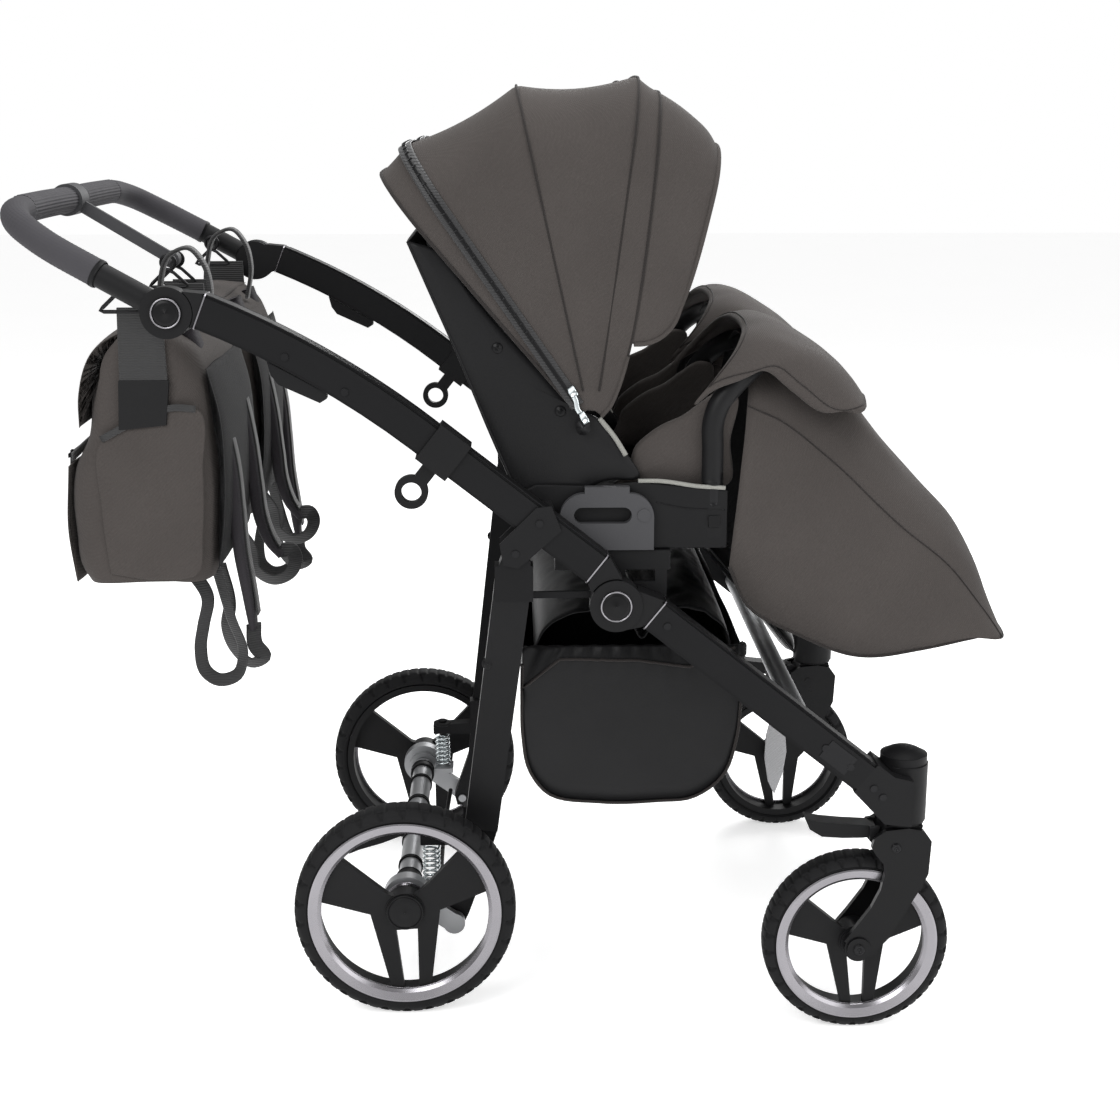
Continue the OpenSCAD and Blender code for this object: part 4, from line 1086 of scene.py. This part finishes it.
    # Carry handle and two padded straps with their webbing
    loop = spline([(-300, 0, 902), (-296, 0, 945), (-281, 0, 986), (-258, 0, 994), (-240, 0, 974), (-233,
            0, 945), (-240, 0, 895)], 44)
    sweep(f"bag_grab_{side}", at(loop, y), (0, 1, 0), 12, 2.6, "webbing_black", body, 4, 12)
    for k, (v, line) in enumerate(((71, [(-250, 902), (-240, 872), (-219, 800), (-206, 735), (-202, 680),
            (-199, 625), (-192, 570), (-187, 520)]),
                                   (-65, [(-250, 902), (-236, 862), (-214, 800), (-203, 740), (-197,
                                   680), (-192, 635), (-181, 603), (-166, 582)]))):
        yy = y + s * v
        path = spline([(px, yy, pz) for px, pz in line], 60)
        u = np.linspace(0, 1, 60)
        strap = sweep(f"bag_strap_{k}_{side}", path, (0, 1, 0), 22.5 - 7 * u**6, 8.5 * (1 - 0.5 * u**8),
                "fabric_dark",
                      body, 3.4, 28)
        sweep(f"bag_strap_web_{k}_{side}", path[20:-3] + (9.2, 0, 0), (0, 1, 0), 12.5, 1.2,
                "webbing_black", body, 4, 12)
        tail = [[(-187, 526), (-186, 497), (-176, 480), (-190, 473), (-212, 492), (-221, 520), (-216,
                552), (-226, 606)],
                [(-167, 588), (-153, 588), (-148, 578), (-155, 557), (-178, 547), (-201, 561), (-206,
                592), (-222, 618)]][k]
        tail = spline([(px, yy, pz) for px, pz in tail], 60)
        sweep(f"bag_tail_{k}_{side}", tail, twist(tail), 11.0, 1.2, "webbing_black", body, 4, 12)
    loop = spline([(px, y + s * 92, pz) for px, pz in (
        (-262, 606), (-240, 566), (-247, 530), (-252, 500), (-246, 468), (-232, 458), (-208, 464), (-199,
        490), (-212, 540),
        (-228, 606))], 70)
    sweep(f"bag_loop_{side}", loop, twist(loop), 9.0, 1.2, "webbing_black", body, 4, 12)

# ---- Basket, its nylon cover and small parts ----
OUT = spline([(155, 505), (154, 440), (155, 388), (164, 340), (184, 312), (254, 297), (330, 298), (372,
        302), (412, 332), (428, 380),
              (433, 440), (434, 503)], 60)
TOP = np.stack([np.linspace(158, 431, 60), np.full(60, 508.0)], 1)
HEM = np.array([(154, 453), (202, 492), (303, 489), (366, 480), (435, 512)])
cols = []
for k in range(60):
    p, t = OUT[k], TOP[k]
    line = p + (t - p) * np.linspace(0, 1, 201)[:, None]
    above = line[:, 1] > np.interp(line[:, 0], HEM[:, 0], HEM[:, 1])
    q = line[min(max(int(np.argmax(above)), 6), 194)] if above.any() else line[194]
    up = np.vstack([t + (q - t) * np.linspace(0, 1, 7)[:, None], (q + (p - q) * np.linspace(0, 1, 9)[:,
            None])[1:]])
    wide = 300 + 7 * np.sin(np.linspace(0, np.pi, 15)) + 2.2 * math.sin(k * 1.25) * np.r_[np.linspace(1,
            0.2, 7), np.zeros(8)]
    near = np.stack([up[:, 0], -wide, up[:, 1]], 1)
    far = np.stack([up[:, 0], wide, up[:, 1]], 1)[::-1]
    yy = np.linspace(-300, 300, 27)[1:-1]
    floor_row = np.stack([np.full(25, p[0]), yy, np.full(25, p[1]) + 1.5 * np.sin(yy / 37 + k * 0.2)], 1)
    cols.append(np.vstack([near, floor_row, far]))
g = np.array(cols)
nu, nv = g.shape[:2]
faces = [f[::-1] for f in grid_faces(nu, nv)]
mats = [1 if (j < 6 or j >= nv - 7) or (14 <= j < nv - 15 and g[i, j,
        2] > 455) else 0 for i in range(nu - 1) for j in range(nv - 1)]
basket = piece("basket_sheet", g, faces, ["leatherette", "nylon_black"], "chassis", face_mats=mats,
        thick=1.6, replaces=["basket"])
for k, (j0, e) in enumerate(((14, -1), (nv - 15, 1))):
    cord_line(f"basket_piping_{k}", g[2:-2, j0] + (0, e * 1.5, 0), 2.0, "piping_dark",
            "chassis", ref=(0, 1, 0))
    j1 = 6 if e < 0 else nv - 7
    cord_line(f"basket_hem_{k}", g[2:-2, j1] + (0, e * 1.6, 0), 1.8, "piping_dark",
            "chassis", ref=(0, 1, 0))
COVER = spline([(170, 508), (182, 534), (214, 556), (262, 560), (288, 551), (306, 524), (326, 553), (370,
        563), (408, 540), (426, 486)], 60)
yy = np.linspace(-294, 294, 61)
g = np.stack([np.repeat(COVER[:, :1], 61, 1), np.repeat(yy[None], 60, 0), np.repeat(COVER[:, 1:], 61,
        1)], 2)
ripple = smooth_shift(g, 41, 46, 3.2).reshape(60, 61)
g[..., 2] -= np.abs(ripple) * np.sin(np.linspace(0, np.pi, 60))[:,
        None] + 8 * (np.abs(yy) / 294)[None] ** 6
cover = piece("basket_cover_sheet", g, grid_faces(60, 61), ["nylon_black"], "chassis", thick=1.4,
        replaces=["basket_cover"])
sweep("basket_toggle", [(430, -318, 498), (430, -318, 501), (430, -318, 512), (430, -318, 515)], (1, 0,
        0),
      [4.5, 6.0, 6.0, 4.5], [4.5, 6.0, 6.0, 4.5], "plastic_black", "chassis", 2, 20)
cord_line("basket_cord", spline([(428, -306, 505), (430, -314, 512), (430, -318, 516), (432, -319, 490),
        (430, -316, 470)], 24), 1.4,
          "webbing_black", "chassis", ref=(1, 0, 0))
slab("tongue_strap", [(500, 428), (509, 428), (528, 298), (520, 298)], -1.0, 1.0, "webbing_grey",
        "chassis", bevel=0.4)
slab("tongue", [(518, 302), (531, 300), (540, 280), (543, 250), (538, 215), (527, 184), (517, 205), (511,
        240), (512, 275)],
     -1.6, 1.6, "tongue_grey", "chassis", bevel=1.0)

# ---- Floor ----
floor_mesh = bpy.data.meshes.new("floor")
floor_mesh.from_pydata([(-15, -15, 0), (15, -15, 0), (15, 15, 0), (-15, 15, 0)], [], [(0, 1, 2, 3)])
floor = bpy.data.objects.new("floor", floor_mesh)
floor_mat = Maker("floor", "#f6f6f6", 0.7)
floor_mat.tint(floor_mat.noise(2, 3), 0.985, 1.0)
floor_mat.bsdf.inputs["Emission Color"].default_value = (1, 1, 1, 1)
floor_mat.bsdf.inputs["Emission Strength"].default_value = 0.5
floor_mesh.materials.append(floor_mat.mat)
bpy.context.scene.collection.objects.link(floor)
